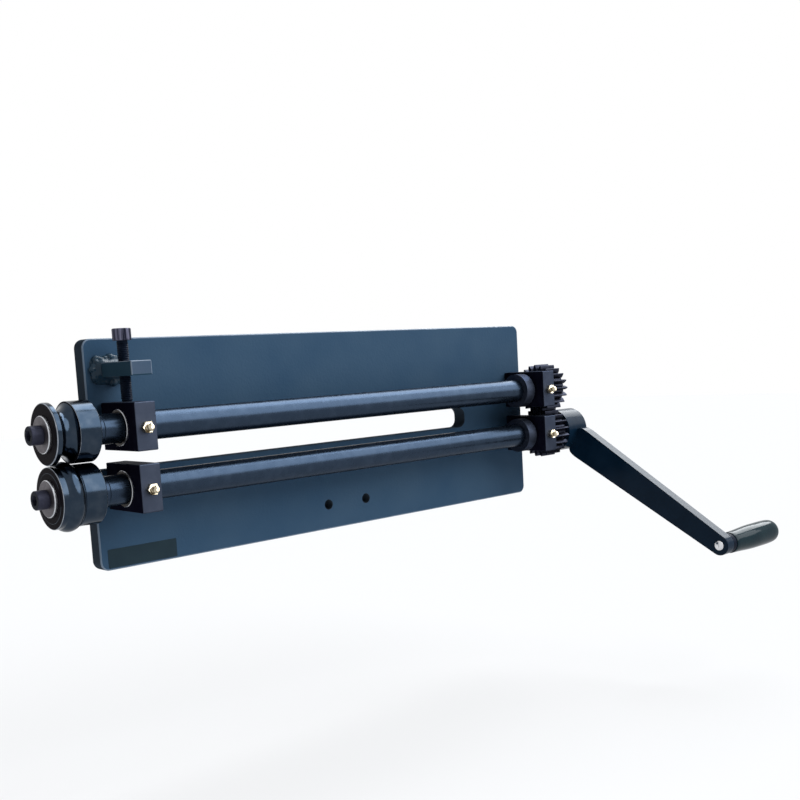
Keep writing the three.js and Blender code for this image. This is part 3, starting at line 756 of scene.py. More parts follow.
class Finish(Enum):
    """Every finish on the machine."""

    PLATE = Paint(
        name="slate_hammered_paint", color=(0.032, 0.074, 0.134), light=(0.045, 0.090, 0.150),
        roughness=0.45, dent_size=2.6 * MM, dent_depth=0.10 * MM, gloss=0.06,
    )
    # The cut edges are painted darker than the front as shade, and without gloss.
    PLATE_SIDE = Paint(
        name="slate_cut_edge_painted_shade", color=(0.030, 0.044, 0.062), light=(0.052, 0.064, 0.080), roughness=0.6,
        dent_size=3.0 * MM, dent_depth=0.08 * MM, gloss=0.0,
    )
    # The rounds between the front and the cut edges are painted light as a highlight line.
    PLATE_RIM = Paint(
        name="slate_edge_painted_highlight", color=(0.12, 0.17, 0.24), light=(0.21, 0.27, 0.35), roughness=0.4,
        dent_size=2.0 * MM, dent_depth=0.05 * MM, gloss=0.15,
    )
    BRACKET = Paint(
        name="slate_paint", color=(0.050, 0.086, 0.140), light=(0.070, 0.104, 0.158), roughness=0.4,
        dent_size=2.0 * MM, dent_depth=0.05 * MM, gloss=0.06,
    )
    # The bracket's ends, underside and down-facing rounds are painted darker as shade, without gloss.
    BRACKET_SIDE = Paint(
        name="slate_paint_side_painted_shade", color=(0.022, 0.056, 0.086), light=(0.030, 0.066, 0.098), roughness=0.5,
        dent_size=2.0 * MM, dent_depth=0.05 * MM, gloss=0.0,
    )
    # The bracket's up-facing rounds are rubbed edges, painted light as a highlight.
    BRACKET_RIM = Paint(
        name="rubbed_bracket_edge_painted_highlight", color=(0.10, 0.14, 0.20), light=(0.18, 0.23, 0.30), roughness=0.4,
        dent_size=1.2 * MM, dent_depth=0.05 * MM, gloss=0.15,
    )
    WELD = Gloss(
        name="painted_weld", color=(0.012, 0.036, 0.062), light=(0.036, 0.066, 0.096), roughness=0.2,
        ripple_size=1.6 * MM, ripple_depth=0.16 * MM, coat=0.1, gloss=0.12,
    )
    BLOCK = BlackSteel(
        name="blackened_block", color=(0.044, 0.054, 0.080), worn=(0.062, 0.074, 0.106), roughness=0.46,
        metallic=0.85, mark_size=1.4 * MM, mark_depth=0.03 * MM, gloss=0.1, edge=0.15,
    )
    # The blocks' end faces are painted near-black as shade, without gloss.
    BLOCK_SIDE = BlackSteel(
        name="blackened_block_side_painted_shade", color=(0.006, 0.006, 0.014), worn=(0.012, 0.014, 0.026),
        roughness=0.6, metallic=0.0, mark_size=1.4 * MM, mark_depth=0.03 * MM, gloss=0.0,
    )
    SHAFT = BlackSteel(
        name="blued_shaft", color=(0.024, 0.038, 0.062), worn=(0.036, 0.054, 0.084), roughness=0.28,
        metallic=0.9, mark_size=1.2 * MM, mark_depth=0.012 * MM, gloss=0.3, edge=0.6,
        stretch=(0.05, 1.0, 1.0),
    )
    DIE = BlackSteel(
        name="polished_black_die", color=(0.022, 0.034, 0.052), worn=(0.046, 0.060, 0.080),
        roughness=0.16, metallic=1.0, mark_size=0.6 * MM, mark_depth=0.006 * MM, gloss=0.5, edge=0.8,
        stretch=(1.0, 0.15, 0.15),
    )
    # The dies' end faces are painted near-black and matt as shade.
    DIE_FACE = BlackSteel(
        name="die_face_painted_shade", color=(0.004, 0.003, 0.005), worn=(0.012, 0.010, 0.013), roughness=0.5,
        metallic=0.0, mark_size=0.8 * MM, mark_depth=0.02 * MM, gloss=0.02,
    )
    # The dies' edge rings are worn bare steel, painted light as highlight lines.
    DIE_EDGE = BareSteel(
        name="worn_die_edge_painted_highlight", color=(0.36, 0.39, 0.44), dull=(0.14, 0.16, 0.19), roughness=0.3,
        grain_size=1.2 * MM, grain_depth=0.01 * MM,
    )
    SCREW = BlackSteel(
        name="black_screw", color=(0.040, 0.042, 0.064), worn=(0.068, 0.070, 0.104), roughness=0.34,
        metallic=0.15, mark_size=0.7 * MM, mark_depth=0.02 * MM, gloss=0.04, edge=0.5,
    )
    # The knurled head's worn colour is a painted highlight, laid in upright streaks.
    KNURL = BlackSteel(
        name="black_knurled_head_painted_highlight", color=(0.012, 0.014, 0.026), worn=(0.190, 0.190, 0.270),
        roughness=0.34, metallic=0.1, mark_size=2.4 * MM, mark_depth=0.08 * MM, gloss=0.04, edge=0.5,
        stretch=(1.0, 1.0, 0.04), highlight_streaks=0.9,
    )
    # Near-black: the threads' own dark colour, and painted shade on the die screws' end faces and the grip
    # collar.
    THREAD = BlackSteel(
        name="black_thread_and_painted_shade", color=(0.006, 0.010, 0.020), worn=(0.016, 0.022, 0.036), roughness=0.4,
        metallic=0.2, mark_size=0.7 * MM, mark_depth=0.02 * MM, gloss=0.04, edge=0.3,
    )
    GEAR = BlackSteel(
        name="black_gear", color=(0.022, 0.025, 0.038), worn=(0.050, 0.054, 0.074), roughness=0.36,
        metallic=0.9, mark_size=1.0 * MM, mark_depth=0.03 * MM, gloss=0.1, edge=0.5,
    )
    WASHER = BareSteel(
        name="ground_steel", color=(0.14, 0.13, 0.14), dull=(0.075, 0.070, 0.080), roughness=0.5,
        grain_size=0.7 * MM, grain_depth=0.06 * MM,
    )
    # Bright steel painted on outer rounds and chamfers as a highlight line.
    RIM = BareSteel(
        name="rim_painted_highlight", color=(0.60, 0.62, 0.65), dull=(0.36, 0.37, 0.40), roughness=0.32,
        grain_size=0.8 * MM, grain_depth=0.02 * MM,
    )
    BRONZE = BareSteel(
        name="dark_bronze", color=(0.045, 0.040, 0.036), dull=(0.022, 0.020, 0.020), roughness=0.45,
        grain_size=0.8 * MM, grain_depth=0.02 * MM,
    )
    ZINC = BareSteel(
        name="pale_zinc", color=(0.60, 0.54, 0.42), dull=(0.38, 0.32, 0.22), roughness=0.26,
        grain_size=1.0 * MM, grain_depth=0.01 * MM,
    )
    RIVET = BareSteel(
        name="polished_rivet", color=(0.74, 0.75, 0.77), dull=(0.50, 0.51, 0.53), roughness=0.24,
        grain_size=1.2 * MM, grain_depth=0.01 * MM,
    )
    CRANK = Gloss(
        name="navy_crank_paint", color=(0.003, 0.014, 0.031), light=(0.006, 0.020, 0.042), roughness=0.22,
        ripple_size=5.0 * MM, ripple_depth=0.05 * MM, coat=0.0, gloss=0.06,
    )
    GRIP = Gloss(
        name="glossy_grip", color=(0.003, 0.016, 0.024), light=(0.006, 0.024, 0.032), roughness=0.08,
        ripple_size=9.0 * MM, ripple_depth=0.14 * MM, coat=0.0, gloss=0.07,
    )
    LABEL = Gloss(
        name="blank_label", color=(0.014, 0.030, 0.042), light=(0.018, 0.036, 0.048), roughness=0.4,
        ripple_size=6.0 * MM, ripple_depth=0.01 * MM, coat=0.0, gloss=0.1,
    )

    @cache
    def material(self) -> bpy.types.Material:
        """Gives the finish's material, made at its first use."""
        return self.value.make()


@dataclass
class SubAssembly:
    """What every sub-assembly does: it dresses its pieces and hands each one in."""

    def dress(self, piece: bpy.types.Object, finish: Finish) -> None:
        """Gives a piece one finish all over."""
        piece.data.materials.append(finish.material())

    def dress_faces(self, piece: bpy.types.Object, zone: Callable[[bpy.types.MeshPolygon], Finish]) -> None:
        """Gives a piece several finishes.

        Args:
            piece: The piece.
            zone: Gives the finish that a face wears.
        """
        worn = [zone(face) for face in piece.data.polygons]
        finishes = list(dict.fromkeys(worn))
        for finish in finishes:
            self.dress(piece, finish)
        for face, finish in zip(piece.data.polygons, worn):
            face.material_index = finishes.index(finish)

    def dress_node(self, node: str, finish: Finish) -> None:
        """Gives a CAD node that stays a finish of its own.

        Args:
            node: The node.
            finish: The finish.
        """
        materials = frame["nodes"][node].data.materials
        materials.clear()
        materials.append(finish.material())
        LOG.info("%s keeps its own shape", node)

    def hand_in(self, piece: bpy.types.Object, node: str, finish: Finish | None = None) -> None:
        """Puts a piece in the place of its CAD node and lets it move with that node's body.

        Args:
            piece: The finished piece.
            node: The CAD node it stands for.
            finish: Its finish, unless the piece is dressed already.
        """
        if finish is not None:
            self.dress(piece, finish)
        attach(piece, BODY_OF[node])
        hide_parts(node)
        LOG.info("%s stands for %s with %d faces", piece.name, node, len(piece.data.polygons))


def middle(node: str) -> Vector:
    """Gives the middle of a CAD node's box.

    Args:
        node: The node.

    Returns:
        The middle.
    """
    low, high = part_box(node)
    return (low + high) / 2


@dataclass(frozen=True)
class ScrewSize:
    """The sizes of one kind of socket head screw."""

    head: float
    height: float
    shank: float
    socket: float


M8 = ScrewSize(head=13 * MM, height=8 * MM, shank=8 * MM, socket=6 * MM)
M10 = ScrewSize(head=16 * MM, height=10 * MM, shank=9.8 * MM, socket=8 * MM)


@dataclass
class ScrewMaker:
    """Makes socket head screws, hexagon heads and threads."""

    chamfer: float = 0.6 * MM
    edge: float = 0.18 * MM
    knurls: int = 48
    knurl_depth: float = 0.14 * MM
    knurl_end: float = 1.6 * MM
    neck_start: float = 0.9 * MM
    neck_depth: float = 0.25 * MM
    socket_floor: float = 0.45
    pitch: float = 1.5 * MM
    thread_depth: float = 0.5 * MM
    thread_sink: float = 0.05 * MM
    thread_steps: int = 32

    def cap_screw(self, name: str, size: ScrewSize, length: float) -> bpy.types.Object:
        """Makes a socket head screw along +X, its head at negative x and the seat under it at the origin.

        Args:
            name: The screw's name.
            size: Its sizes.
            length: The length below the head.

        Returns:
            The screw.
        """
        rim, core = size.head / 2, size.shank / 2
        neck = rim - self.neck_depth
        top, bottom = self.chamfer - size.height, -self.knurl_end
        screw = Bench.turn(name, [
            (-size.height, 0.0), (-size.height, rim - self.chamfer), (top, rim), (bottom, rim),
            (-self.neck_start, neck), (0.0, neck), (0.0, core), (length - self.chamfer, core),
            (length, core - self.chamfer), (length, 0.0),
        ], segments=self.knurls * 2)
        step = pi / self.knurls

        def in_groove(face: bpy.types.MeshPolygon) -> bool:
            """Picks every other face of the head's side.

            Args:
                face: A face of the screw.

            Returns:
                Whether it lies in a groove.
            """
            centre = face.center
            around = round((Vector((0.0, 1.0)).angle_signed(centre.yz) % (2 * pi)) / step - 0.5)
            return top < centre.x < bottom and centre.yz.length > rim * 0.97 and around % 2 == 0

        Bench.mark(screw, in_groove)
        bpy.ops.transform.shrink_fatten(value=-self.knurl_depth)
        bpy.ops.object.mode_set(mode="OBJECT")
        across = size.socket / sqrt(3.0)
        Bench.carve(
            screw, Bench.bar("socket", across, -size.height - MM, -size.height * self.socket_floor, sides=6)
        )
        Bench.finish_edges(screw, self.edge, segments=2, above=radians(35.0))
        return screw

    def thread(self, name: str, outside: float, start: float, end: float) -> bpy.types.Object:
        """Winds a helical ridge round the X axis.

        Args:
            name: The ridge's name.
            outside: The thread's outer radius.
            start: Where it starts along X.
            end: Where it ends along X.

        Returns:
            The ridge.
        """
        root = outside - self.thread_depth - self.thread_sink
        half = self.pitch * 0.46
        points = [(root, 0.0, 0.0), (outside, 0.0, half), (root, 0.0, 2 * half), (root, 0.0, 0.0)]
        ridge = Bench.draw(name, points)
        bpy.ops.mesh.remove_doubles(threshold=Bench.MERGE_DISTANCE)
        bpy.ops.object.mode_set(mode="OBJECT")
        Bench.apply(
            ridge, "SCREW", axis="Z", angle=2 * pi, screw_offset=self.pitch,
            iterations=int((end - start) / self.pitch) - 1, steps=self.thread_steps,
            render_steps=self.thread_steps, use_merge_vertices=False,
        )
        bpy.ops.object.mode_set(mode="EDIT")
        bpy.ops.mesh.select_all(action="SELECT")
        bpy.ops.mesh.fill_holes(sides=0)
        bpy.ops.mesh.normals_make_consistent(inside=False)
        bpy.ops.object.mode_set(mode="OBJECT")
        Bench.place(ridge, (start, 0.0, 0.0), Heading.DOWN)
        return ridge

    def hex_head(self, name: str, across: float, start: float, end: float) -> bpy.types.Object:
        """Makes a hexagon along X with its outer corners turned off at the start.

        Args:
            name: The hexagon's name.
            across: Width across flats.
            start: Its outer face.
            end: Its seat.

        Returns:
            The hexagon.
        """
        corner = across / sqrt(3.0)
        wide = corner * 1.01
        head = Bench.bar(name, corner, start, end, sides=6)
        cone = Bench.turn("cone", [
            (start, 0.0), (start, across / 2 * 0.96), (start + (end - start) * 0.25, wide), (end + MM, wide),
            (end + MM, 0.0),
        ])
        Bench.combine(head, cone, "INTERSECT")
        return head


# Sub-assemblies


@dataclass
class FramePlate(SubAssembly):
    """The upright plate with its throat, its holes and a blank label place."""

    corner: float = 8 * MM
    throat_depth: float = 457 * MM
    throat_height: float = 22 * MM
    throat_corner: float = 9 * MM
    throat_middle: float = 73.5 * MM
    edge: float = 1.2 * MM
    cut_edge: float = 0.6 * MM
    rim_reach: float = 3 * MM
    hole_radius: float = 5 * MM
    hole_places: tuple[float, float] = (-25 * MM, 25 * MM)
    shoulder_radius: float = 6.1 * MM
    counterbore_radius: float = 6.9 * MM
    counterbore_depth: float = 8.6 * MM
    screw_radius: float = 4.1 * MM
    guide_low: float = 102.0 * MM
    guide_travel: float = 8.2 * MM
    guide_half: float = 6.3 * MM
    tool_spare: float = 5 * MM
    tool_reach: float = 40 * MM
    label_low: tuple[float, float] = (-270.5 * MM, -23.0 * MM)
    label_high: tuple[float, float] = (-203.0 * MM, -6.5 * MM)
    label_thickness: float = 0.25 * MM
    label_corner: float = 1.2 * MM
    label_edge: float = 0.08 * MM

    def _through(self, radius: float, place: Vector, depth: float) -> bpy.types.Object:
        """Makes the tool for a round hole from the plate's back.

        Args:
            radius: The hole's radius.
            place: A point on its axis.
            depth: How far it goes in from the plate's back.

        Returns:
            The tool.
        """
        tool = Bench.bar("hole", radius, -self.tool_spare, depth, sides=48)
        Bench.place(tool, (place.x, 0.0, place.z), Heading.FORWARD)
        return tool

    def _slot(self, low: tuple[float, float], high: tuple[float, float], corner: float) -> bpy.types.Object:
        """Makes the tool for a slot with rounded corners.

        Args:
            low: Its lowest corner, as (x, z).
            high: Its highest corner, as (x, z).
            corner: Radius of its corners.

        Returns:
            The tool.
        """
        front, back = -self.tool_reach, self.tool_reach / 2
        tool = Bench.block("slot", (low[0], front, low[1]), (high[0], back, high[1]))
        Bench.round_corners(tool, corner, Bench.crosses, segments=12)
        return tool

    def build(self) -> None:
        """Builds the plate and the label place."""
        low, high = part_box("frame_plate")
        plate = Bench.block("plate", low, high)
        Bench.round_corners(plate, self.corner, Bench.crosses)
        Bench.round_corners(plate, self.edge, lambda *ends: not Bench.crosses(*ends), segments=3)
        self._cut_slots(plate, low.x)
        self._drill(plate)
        Bench.finish_edges(plate, self.cut_edge, segments=2, above=radians(50.0))
        reach = (high - low) / 2
        inner = reach - Vector((self.corner + 0.5 * MM, 0.0, self.rim_reach))

        def zone(face: bpy.types.MeshPolygon) -> Finish:
            """Tells apart the broad sides, the cut edges painted darker as shade and the rounds in front of
            them painted light as a highlight.

            Args:
                face: A face of the plate.

            Returns:
                Its finish.
            """
            if abs(face.normal.y) > 0.98:
                return Finish.PLATE
            away = face.center - low - reach
            outside = abs(away.x) > inner.x or abs(away.z) > inner.z
            # Front-facing rounds get a painted highlight; the other edge faces are painted darker as shade.
            return Finish.PLATE_RIM if outside and face.normal.y < -0.2 else Finish.PLATE_SIDE

        self.dress_faces(plate, zone)
        self.hand_in(plate, "frame_plate")
        self._label(low.y)

    def _cut_slots(self, plate: bpy.types.Object, left: float) -> None:
        """Cuts the throat and the slot that leads the upper front block.

        Args:
            plate: The plate.
            left: Where the plate's open end lies along X.
        """
        half, side = self.throat_height / 2, self.guide_half
        guide, top = middle("guide_bolt").x, self.guide_low + self.guide_travel
        Bench.carve(
            plate,
            self._slot((left - self.throat_depth, self.throat_middle - half),
                       (left + self.throat_depth, self.throat_middle + half), self.throat_corner),
            self._slot((guide - side, self.guide_low - side), (guide + side, top + side), side * 0.985),
        )

    def _drill(self, plate: bpy.types.Object) -> None:
        """Drills the pivot hole, the mounting holes and the lower block screws' counterbored holes.

        Args:
            plate: The plate.
        """
        reach = self.tool_reach
        Bench.carve(plate, self._through(self.shoulder_radius, middle("pivot_bolt"), reach))
        for x in self.hole_places:
            Bench.carve(plate, self._through(self.hole_radius, Vector((x, 0.0, 0.0)), reach))
        for number in range(1, 5):
            centre = middle(f"lower_block_screw_{number}")
            Bench.carve(
                plate, self._through(self.counterbore_radius, centre, self.counterbore_depth),
                self._through(self.screw_radius, centre, reach),
            )

    def _label(self, face: float) -> None:
        """Builds the blank label plate on the plate's front face.

        Args:
            face: Where the front face lies along Y.
        """
        (left, bottom), (right, top) = self.label_low, self.label_high
        label = Bench.block(
            "blank_label_plate", (left, face - self.label_thickness, bottom), (right, face, top)
        )
        Bench.round_corners(label, self.label_corner, Bench.crosses, segments=6)
        Bench.finish_edges(label, self.label_edge, segments=2)
        self.dress(label, Finish.LABEL)
        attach(label, "frame")
        LOG.info("%s lies on the plate", label.name)


@dataclass
class AdjusterBracket(SubAssembly):
    """The bar that carries the adjusting screw, its weld and the screw."""

    edge: float = 0.9 * MM
    hole_radius: float = 5.05 * MM
    leg: float = 8.0 * MM
    leg_extra: float = 0.6 * MM
    bead_count: int = 30
    bead_radius: float = 3.6 * MM
    bead_reach: float = 3.6 * MM
    bead_squareness: float = 0.62
    voxel: float = 0.45 * MM
    tool_reach: float = 40 * MM

    def build(self) -> None:
        """Builds the bar, the weld round its root and the screw."""
        low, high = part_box("adjuster_bracket")
        bar = Bench.block("bracket_bar", low, high)
        hole = Bench.bar("hole", self.hole_radius, -MM, high.z - low.z + MM, sides=48)
        Bench.place(hole, ((low.x + high.x) / 2, (low.y + high.y) / 2, high.z), Heading.DOWN)
        Bench.carve(bar, hole)
        Bench.finish_edges(bar, self.edge)

        def zone(face: bpy.types.MeshPolygon) -> Finish:
            """Tells apart the bar's end and top, its sides and underside painted dark as shade, and its
            rounds, rubbed and painted light as a highlight where they face up.

            Args:
                face: A face of the bar.

            Returns:
                Its finish.
            """
            if max(abs(part) for part in face.normal) < 0.97:
                # Up-facing rounds are painted light as a highlight, down-facing ones dark as shade.
                return Finish.BRACKET_RIM if face.normal.z > -0.2 else Finish.BRACKET_SIDE
            # The ends and the underside are painted darker as shade.
            dark = abs(face.normal.x) > 0.9 or face.normal.z < -0.9
            return Finish.BRACKET_SIDE if dark else Finish.BRACKET

        self.dress_faces(bar, zone)
        self.hand_in(bar, "adjuster_bracket")
        self._weld(low, high)
        self._screw()

    def _weld(self, low: Vector, high: Vector) -> None:
        """Builds the weld: a sloping fillet with overlapping drops on it, melted together.

        Args:
            low: The bar's lowest corner.
            high: The bar's highest corner.
        """
        lumps = [self._fillet(low, high), *self._drops(low, high)]
        Bench.join(lumps)
        weld = lumps[0]
        Bench.apply(weld, "REMESH", mode="VOXEL", voxel_size=self.voxel)
        Bench.apply(weld, "SMOOTH", iterations=8, factor=0.5)
        face, far = high.y, self.tool_reach
        Bench.carve(
            weld,
            Bench.block("plate_side", (low.x - far, face, low.z - far),
                        (high.x + far, face + far, high.z + far)),
            Bench.block("bar_side", (low.x, face - far, low.z), (high.x, face + MM, high.z)),
        )
        Bench.pick(weld)
        bpy.ops.object.shade_smooth_by_angle(angle=radians(50.0))
        self.hand_in(weld, "bracket_weld", Finish.WELD)

    def _drops(self, low: Vector, high: Vector) -> list[bpy.types.Object]:
        """Lays uneven drops of weld round the bar's root.

        Args:
            low: The bar's lowest corner.
            high: The bar's highest corner.

        Returns:
            The drops.
        """
        dice = random.Random(11)
        centre, half = (low + high) / 2, (high - low) / 2
        drops = []
        for index in range(self.bead_count):
            angle = 2 * pi * index / self.bead_count
            across, up = (
                copysign(abs(part) ** self.bead_squareness, part) for part in (cos(angle), sin(angle))
            )
            x = centre.x + (half.x + self.bead_reach) * across
            z = centre.z + (half.z + self.bead_reach) * up
            bpy.ops.object.select_all(action="DESELECT")
            radius = self.bead_radius * dice.uniform(0.75, 1.15)
            bpy.ops.mesh.primitive_uv_sphere_add(
                segments=24, ring_count=14, radius=radius,
                location=(x + dice.uniform(-1.4, 0.6) * MM, high.y - self.bead_reach * dice.uniform(0.4, 0.8),
                          z + dice.uniform(-1.0, 1.0) * MM),
                scale=(dice.uniform(0.8, 1.2), dice.uniform(0.7, 1.0), dice.uniform(0.8, 1.2)),
            )
            drops.append(Bench.name_new("weld_bead"))
            Bench.settle()
        return drops

    def _fillet(self, low: Vector, high: Vector) -> bpy.types.Object:
        """Builds the sloping body of the weld, wide on the plate and narrow along the bar.

        Args:
            low: The bar's lowest corner.
            high: The bar's highest corner.

        Returns:
            The sloping body.
        """
        wide = Vector((self.leg + self.leg_extra, 0.0, self.leg))
        start = Vector((low.x, high.y - self.leg, low.z)) - wide
        fillet = Bench.block("weld_fillet", start, Vector((high.x, high.y + 2 * MM, high.z)) + wide)
        Bench.round_corners(fillet, self.leg, Bench.crosses, segments=8)
        Bench.mark(fillet, lambda face: face.normal.y < -0.5)
        size = high - low
        narrow = [(side + MM) / (side + 2 * self.leg) for side in (size.x, size.z)]
        bpy.ops.transform.resize(
            value=(narrow[0], 1.0, narrow[1]),
            center_override=((low.x + high.x) / 2, high.y, (low.z + high.z) / 2),
        )
        bpy.ops.object.mode_set(mode="OBJECT")
        return fillet

    def _screw(self) -> None:
        """Builds the adjusting screw with its thread."""
        low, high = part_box("adjusting_screw")
        length = high.z - low.z - M10.height
        maker = ScrewMaker()
        core = M10.shank - 2 * maker.thread_depth
        screw = maker.cap_screw("adjuster_screw", replace(M10, shank=core), length)
        ridge = maker.thread("ridge", M10.shank / 2, MM, length - 0.5 * MM)
        Bench.pick(ridge)
        bpy.ops.object.shade_smooth_by_angle(angle=radians(40.0))
        Bench.join((screw, ridge))
        self.dress_faces(screw, lambda face: Finish.THREAD if face.center.x > 0.05 * MM else Finish.KNURL)
        centre = middle("adjusting_screw")
        Bench.place(screw, (centre.x, centre.y, high.z - M10.height), Heading.DOWN)
        self.hand_in(screw, "adjusting_screw")


@dataclass
class BearingBlock(SubAssembly):
    """One bearing block with its flanged bush and grease fitting."""

    line: Line
    end: End
    axis: Vector
    edge: float = 0.9 * MM
    bore: float = 14.4 * MM
    bush_body: float = 14.3 * MM
    bush_bore: float = 12.8 * MM
    flange: float = 15.5 * MM
    flange_thickness: float = 1.5 * MM
    fitting_across: float = 9 * MM
    fitting_hex: float = 4 * MM
    fitting_neck: float = 1.8 * MM
    fitting_ball: float = 4.2 * MM
    fitting_hole: float = 3.15 * MM
    bevel: float = 0.35 * MM

    def build(self) -> None:
        """Builds the block, its bush and its fitting."""
        corner = f"{self.line.value}_{self.end.value}"
        low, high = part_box(f"{corner}_block")
        block = Bench.block(f"{corner}_bearing_block", low, high)
        bore = Bench.bar("bore", self.bore, low.x - MM, high.x + MM)
        Bench.seat(bore, self.axis)
        hole = Bench.bar("hole", self.fitting_hole, -6 * MM, 2 * MM, sides=32)
        Bench.place(hole, ((low.x + high.x) / 2, low.y, self.axis.z), Heading.FORWARD)
        Bench.carve(block, bore, hole)
        Bench.finish_edges(block, self.edge)
        # The end faces along the shafts are painted near-black as shade.
        self.dress_faces(block, lambda face: Finish.BLOCK_SIDE if abs(face.normal.x) > 0.9 else Finish.BLOCK)
        self.hand_in(block, f"{corner}_block")
        self._bush(corner, low.x, high.x)
        self._fitting(corner, (low.x + high.x) / 2, low.y)

    def _bush(self, corner: str, left: float, right: float) -> None:
        """Builds the bush, with its flange on the block's side towards the dies.

        Args:
            corner: The block's place in the names of nodes and pieces.
            left: Where the block starts along X.
            right: Where the block ends along X.
        """
        face, bevel = left - self.flange_thickness, self.bevel
        bush = Bench.turn(f"{corner}_bearing_bush", [
            (face, self.bush_bore + bevel), (face, self.flange - bevel), (face + bevel, self.flange),
            (left, self.flange), (left, self.bush_body), (right, self.bush_body), (right, self.bush_bore),
            (face + bevel, self.bush_bore), (face, self.bush_bore + bevel),
        ])
        Bench.seat(bush, self.axis)
        Bench.smooth(bush, radians(25.0))

        def zone(polygon: bpy.types.MeshPolygon) -> Finish:
            """Gives the flange's outer round its painted highlight and the rest its bronze."""
            away = (polygon.center.yz - self.axis.yz).length
            # The flange's outer round is painted light as a highlight line.
            return Finish.RIM if away > self.flange - bevel else Finish.BRONZE

        self.dress_faces(bush, zone)
        self.hand_in(bush, f"{corner}_bush")

    def _fitting(self, corner: str, x: float, face: float) -> None:
        """Builds the grease fitting on the block's front face.

        Args:
            corner: The block's place in the names of nodes and pieces.
            x: The fitting's place along X.
            face: Where the front face lies along Y.
        """
        neck = self.fitting_hex + self.fitting_neck
        tip = neck + self.fitting_ball
        stem = Bench.turn("stem", [
            (-5 * MM, 0.0), (-5 * MM, 3 * MM), (2 * MM, 3 * MM), (self.fitting_hex, 2.9 * MM),
            (self.fitting_hex + 0.5 * MM, 2.3 * MM), (neck, 2.2 * MM), (neck + 0.5 * MM, 2.9 * MM),
            (neck + 1.1 * MM, 3.2 * MM), (neck + 2.0 * MM, 3.15 * MM), (tip - 1.1 * MM, 2.5 * MM),
            (tip - 0.3 * MM, 1.8 * MM), (tip, 1.3 * MM), (tip, 0.6 * MM), (tip - 0.8 * MM, 0.5 * MM),
            (tip - 0.8 * MM, 0.0),
        ], segments=48)
        hexagon = self.fitting_across / sqrt(3.0)
        fitting = Bench.bar(f"{corner}_grease_nipple", hexagon, 0.0, self.fitting_hex, sides=6)
        Bench.weld(fitting, stem)
        Bench.finish_edges(fitting, 0.3 * MM)
        Bench.place(fitting, (x, face, self.axis.z), Heading.FORWARD)
        self.hand_in(fitting, f"{corner}_grease_fitting", Finish.ZINC)


@dataclass
class BackFasteners(SubAssembly):
    """What shows at the plate's back: the lower block screws, and the upper arm's bolts and washers."""

    bolt_across: float = 17 * MM
    bolt_height: float = 7 * MM
    shoulder: float = 6 * MM
    thread: float = 5 * MM
    thread_length: float = 11 * MM
    washer_radius: float = 12 * MM
    washer_play: float = 0.15 * MM
    edge: float = 0.3 * MM

    def build(self) -> None:
        """Builds the four screws, the two bolts and their washers."""
        maker = ScrewMaker()
        for number in range(1, 5):
            node = f"lower_block_screw_{number}"
            low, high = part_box(node)
            seat = high.y - M8.height
            screw = maker.cap_screw(f"lower_block_cap_screw_{number}", M8, high.y - low.y - M8.height)
            Bench.place(screw, (middle(node).x, seat, middle(node).z), Heading.FORWARD)
            self.hand_in(screw, node, Finish.SCREW)
        for which in ("guide", "pivot"):
            self._bolt(maker, which)
            self._washer(which)

    def _bolt(self, maker: ScrewMaker, which: str) -> None:
        """Builds one shoulder bolt with a hexagon head.

        Args:
            maker: Makes its head.
            which: The bolt's name, guide or pivot.
        """
        low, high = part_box(f"{which}_bolt")
        seat = high.y - self.bolt_height
        length = seat - low.y
        end = length - self.thread_length
        bolt = maker.hex_head(f"{which}_shoulder_bolt", self.bolt_across, -self.bolt_height, 0.0)
        shank = Bench.turn("shank", [
            (-3 * MM, 0.0), (-3 * MM, self.shoulder), (end, self.shoulder), (end, self.thread),
            (length, self.thread), (length, 0.0),
        ], segments=64)
        Bench.weld(bolt, shank)
        Bench.finish_edges(bolt, self.edge)
        centre = middle(f"{which}_bolt")
        Bench.place(bolt, (centre.x, seat, centre.z), Heading.FORWARD)
        self.hand_in(bolt, f"{which}_bolt", Finish.SCREW)

    def _washer(self, which: str) -> None:
        """Builds one plain washer.

        Args:
            which: Its bolt's name, guide or pivot.
        """
        low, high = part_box(f"{which}_washer")
        hole = self.shoulder + self.washer_play
        washer = Bench.tube(f"{which}_plain_washer", 0.0, high.y - low.y, hole, self.washer_radius)
        Bench.finish_edges(washer, self.edge)
        centre = middle(f"{which}_washer")
        Bench.place(washer, (centre.x, high.y, centre.z), Heading.FORWARD)
        self.hand_in(washer, f"{which}_washer", Finish.WASHER)


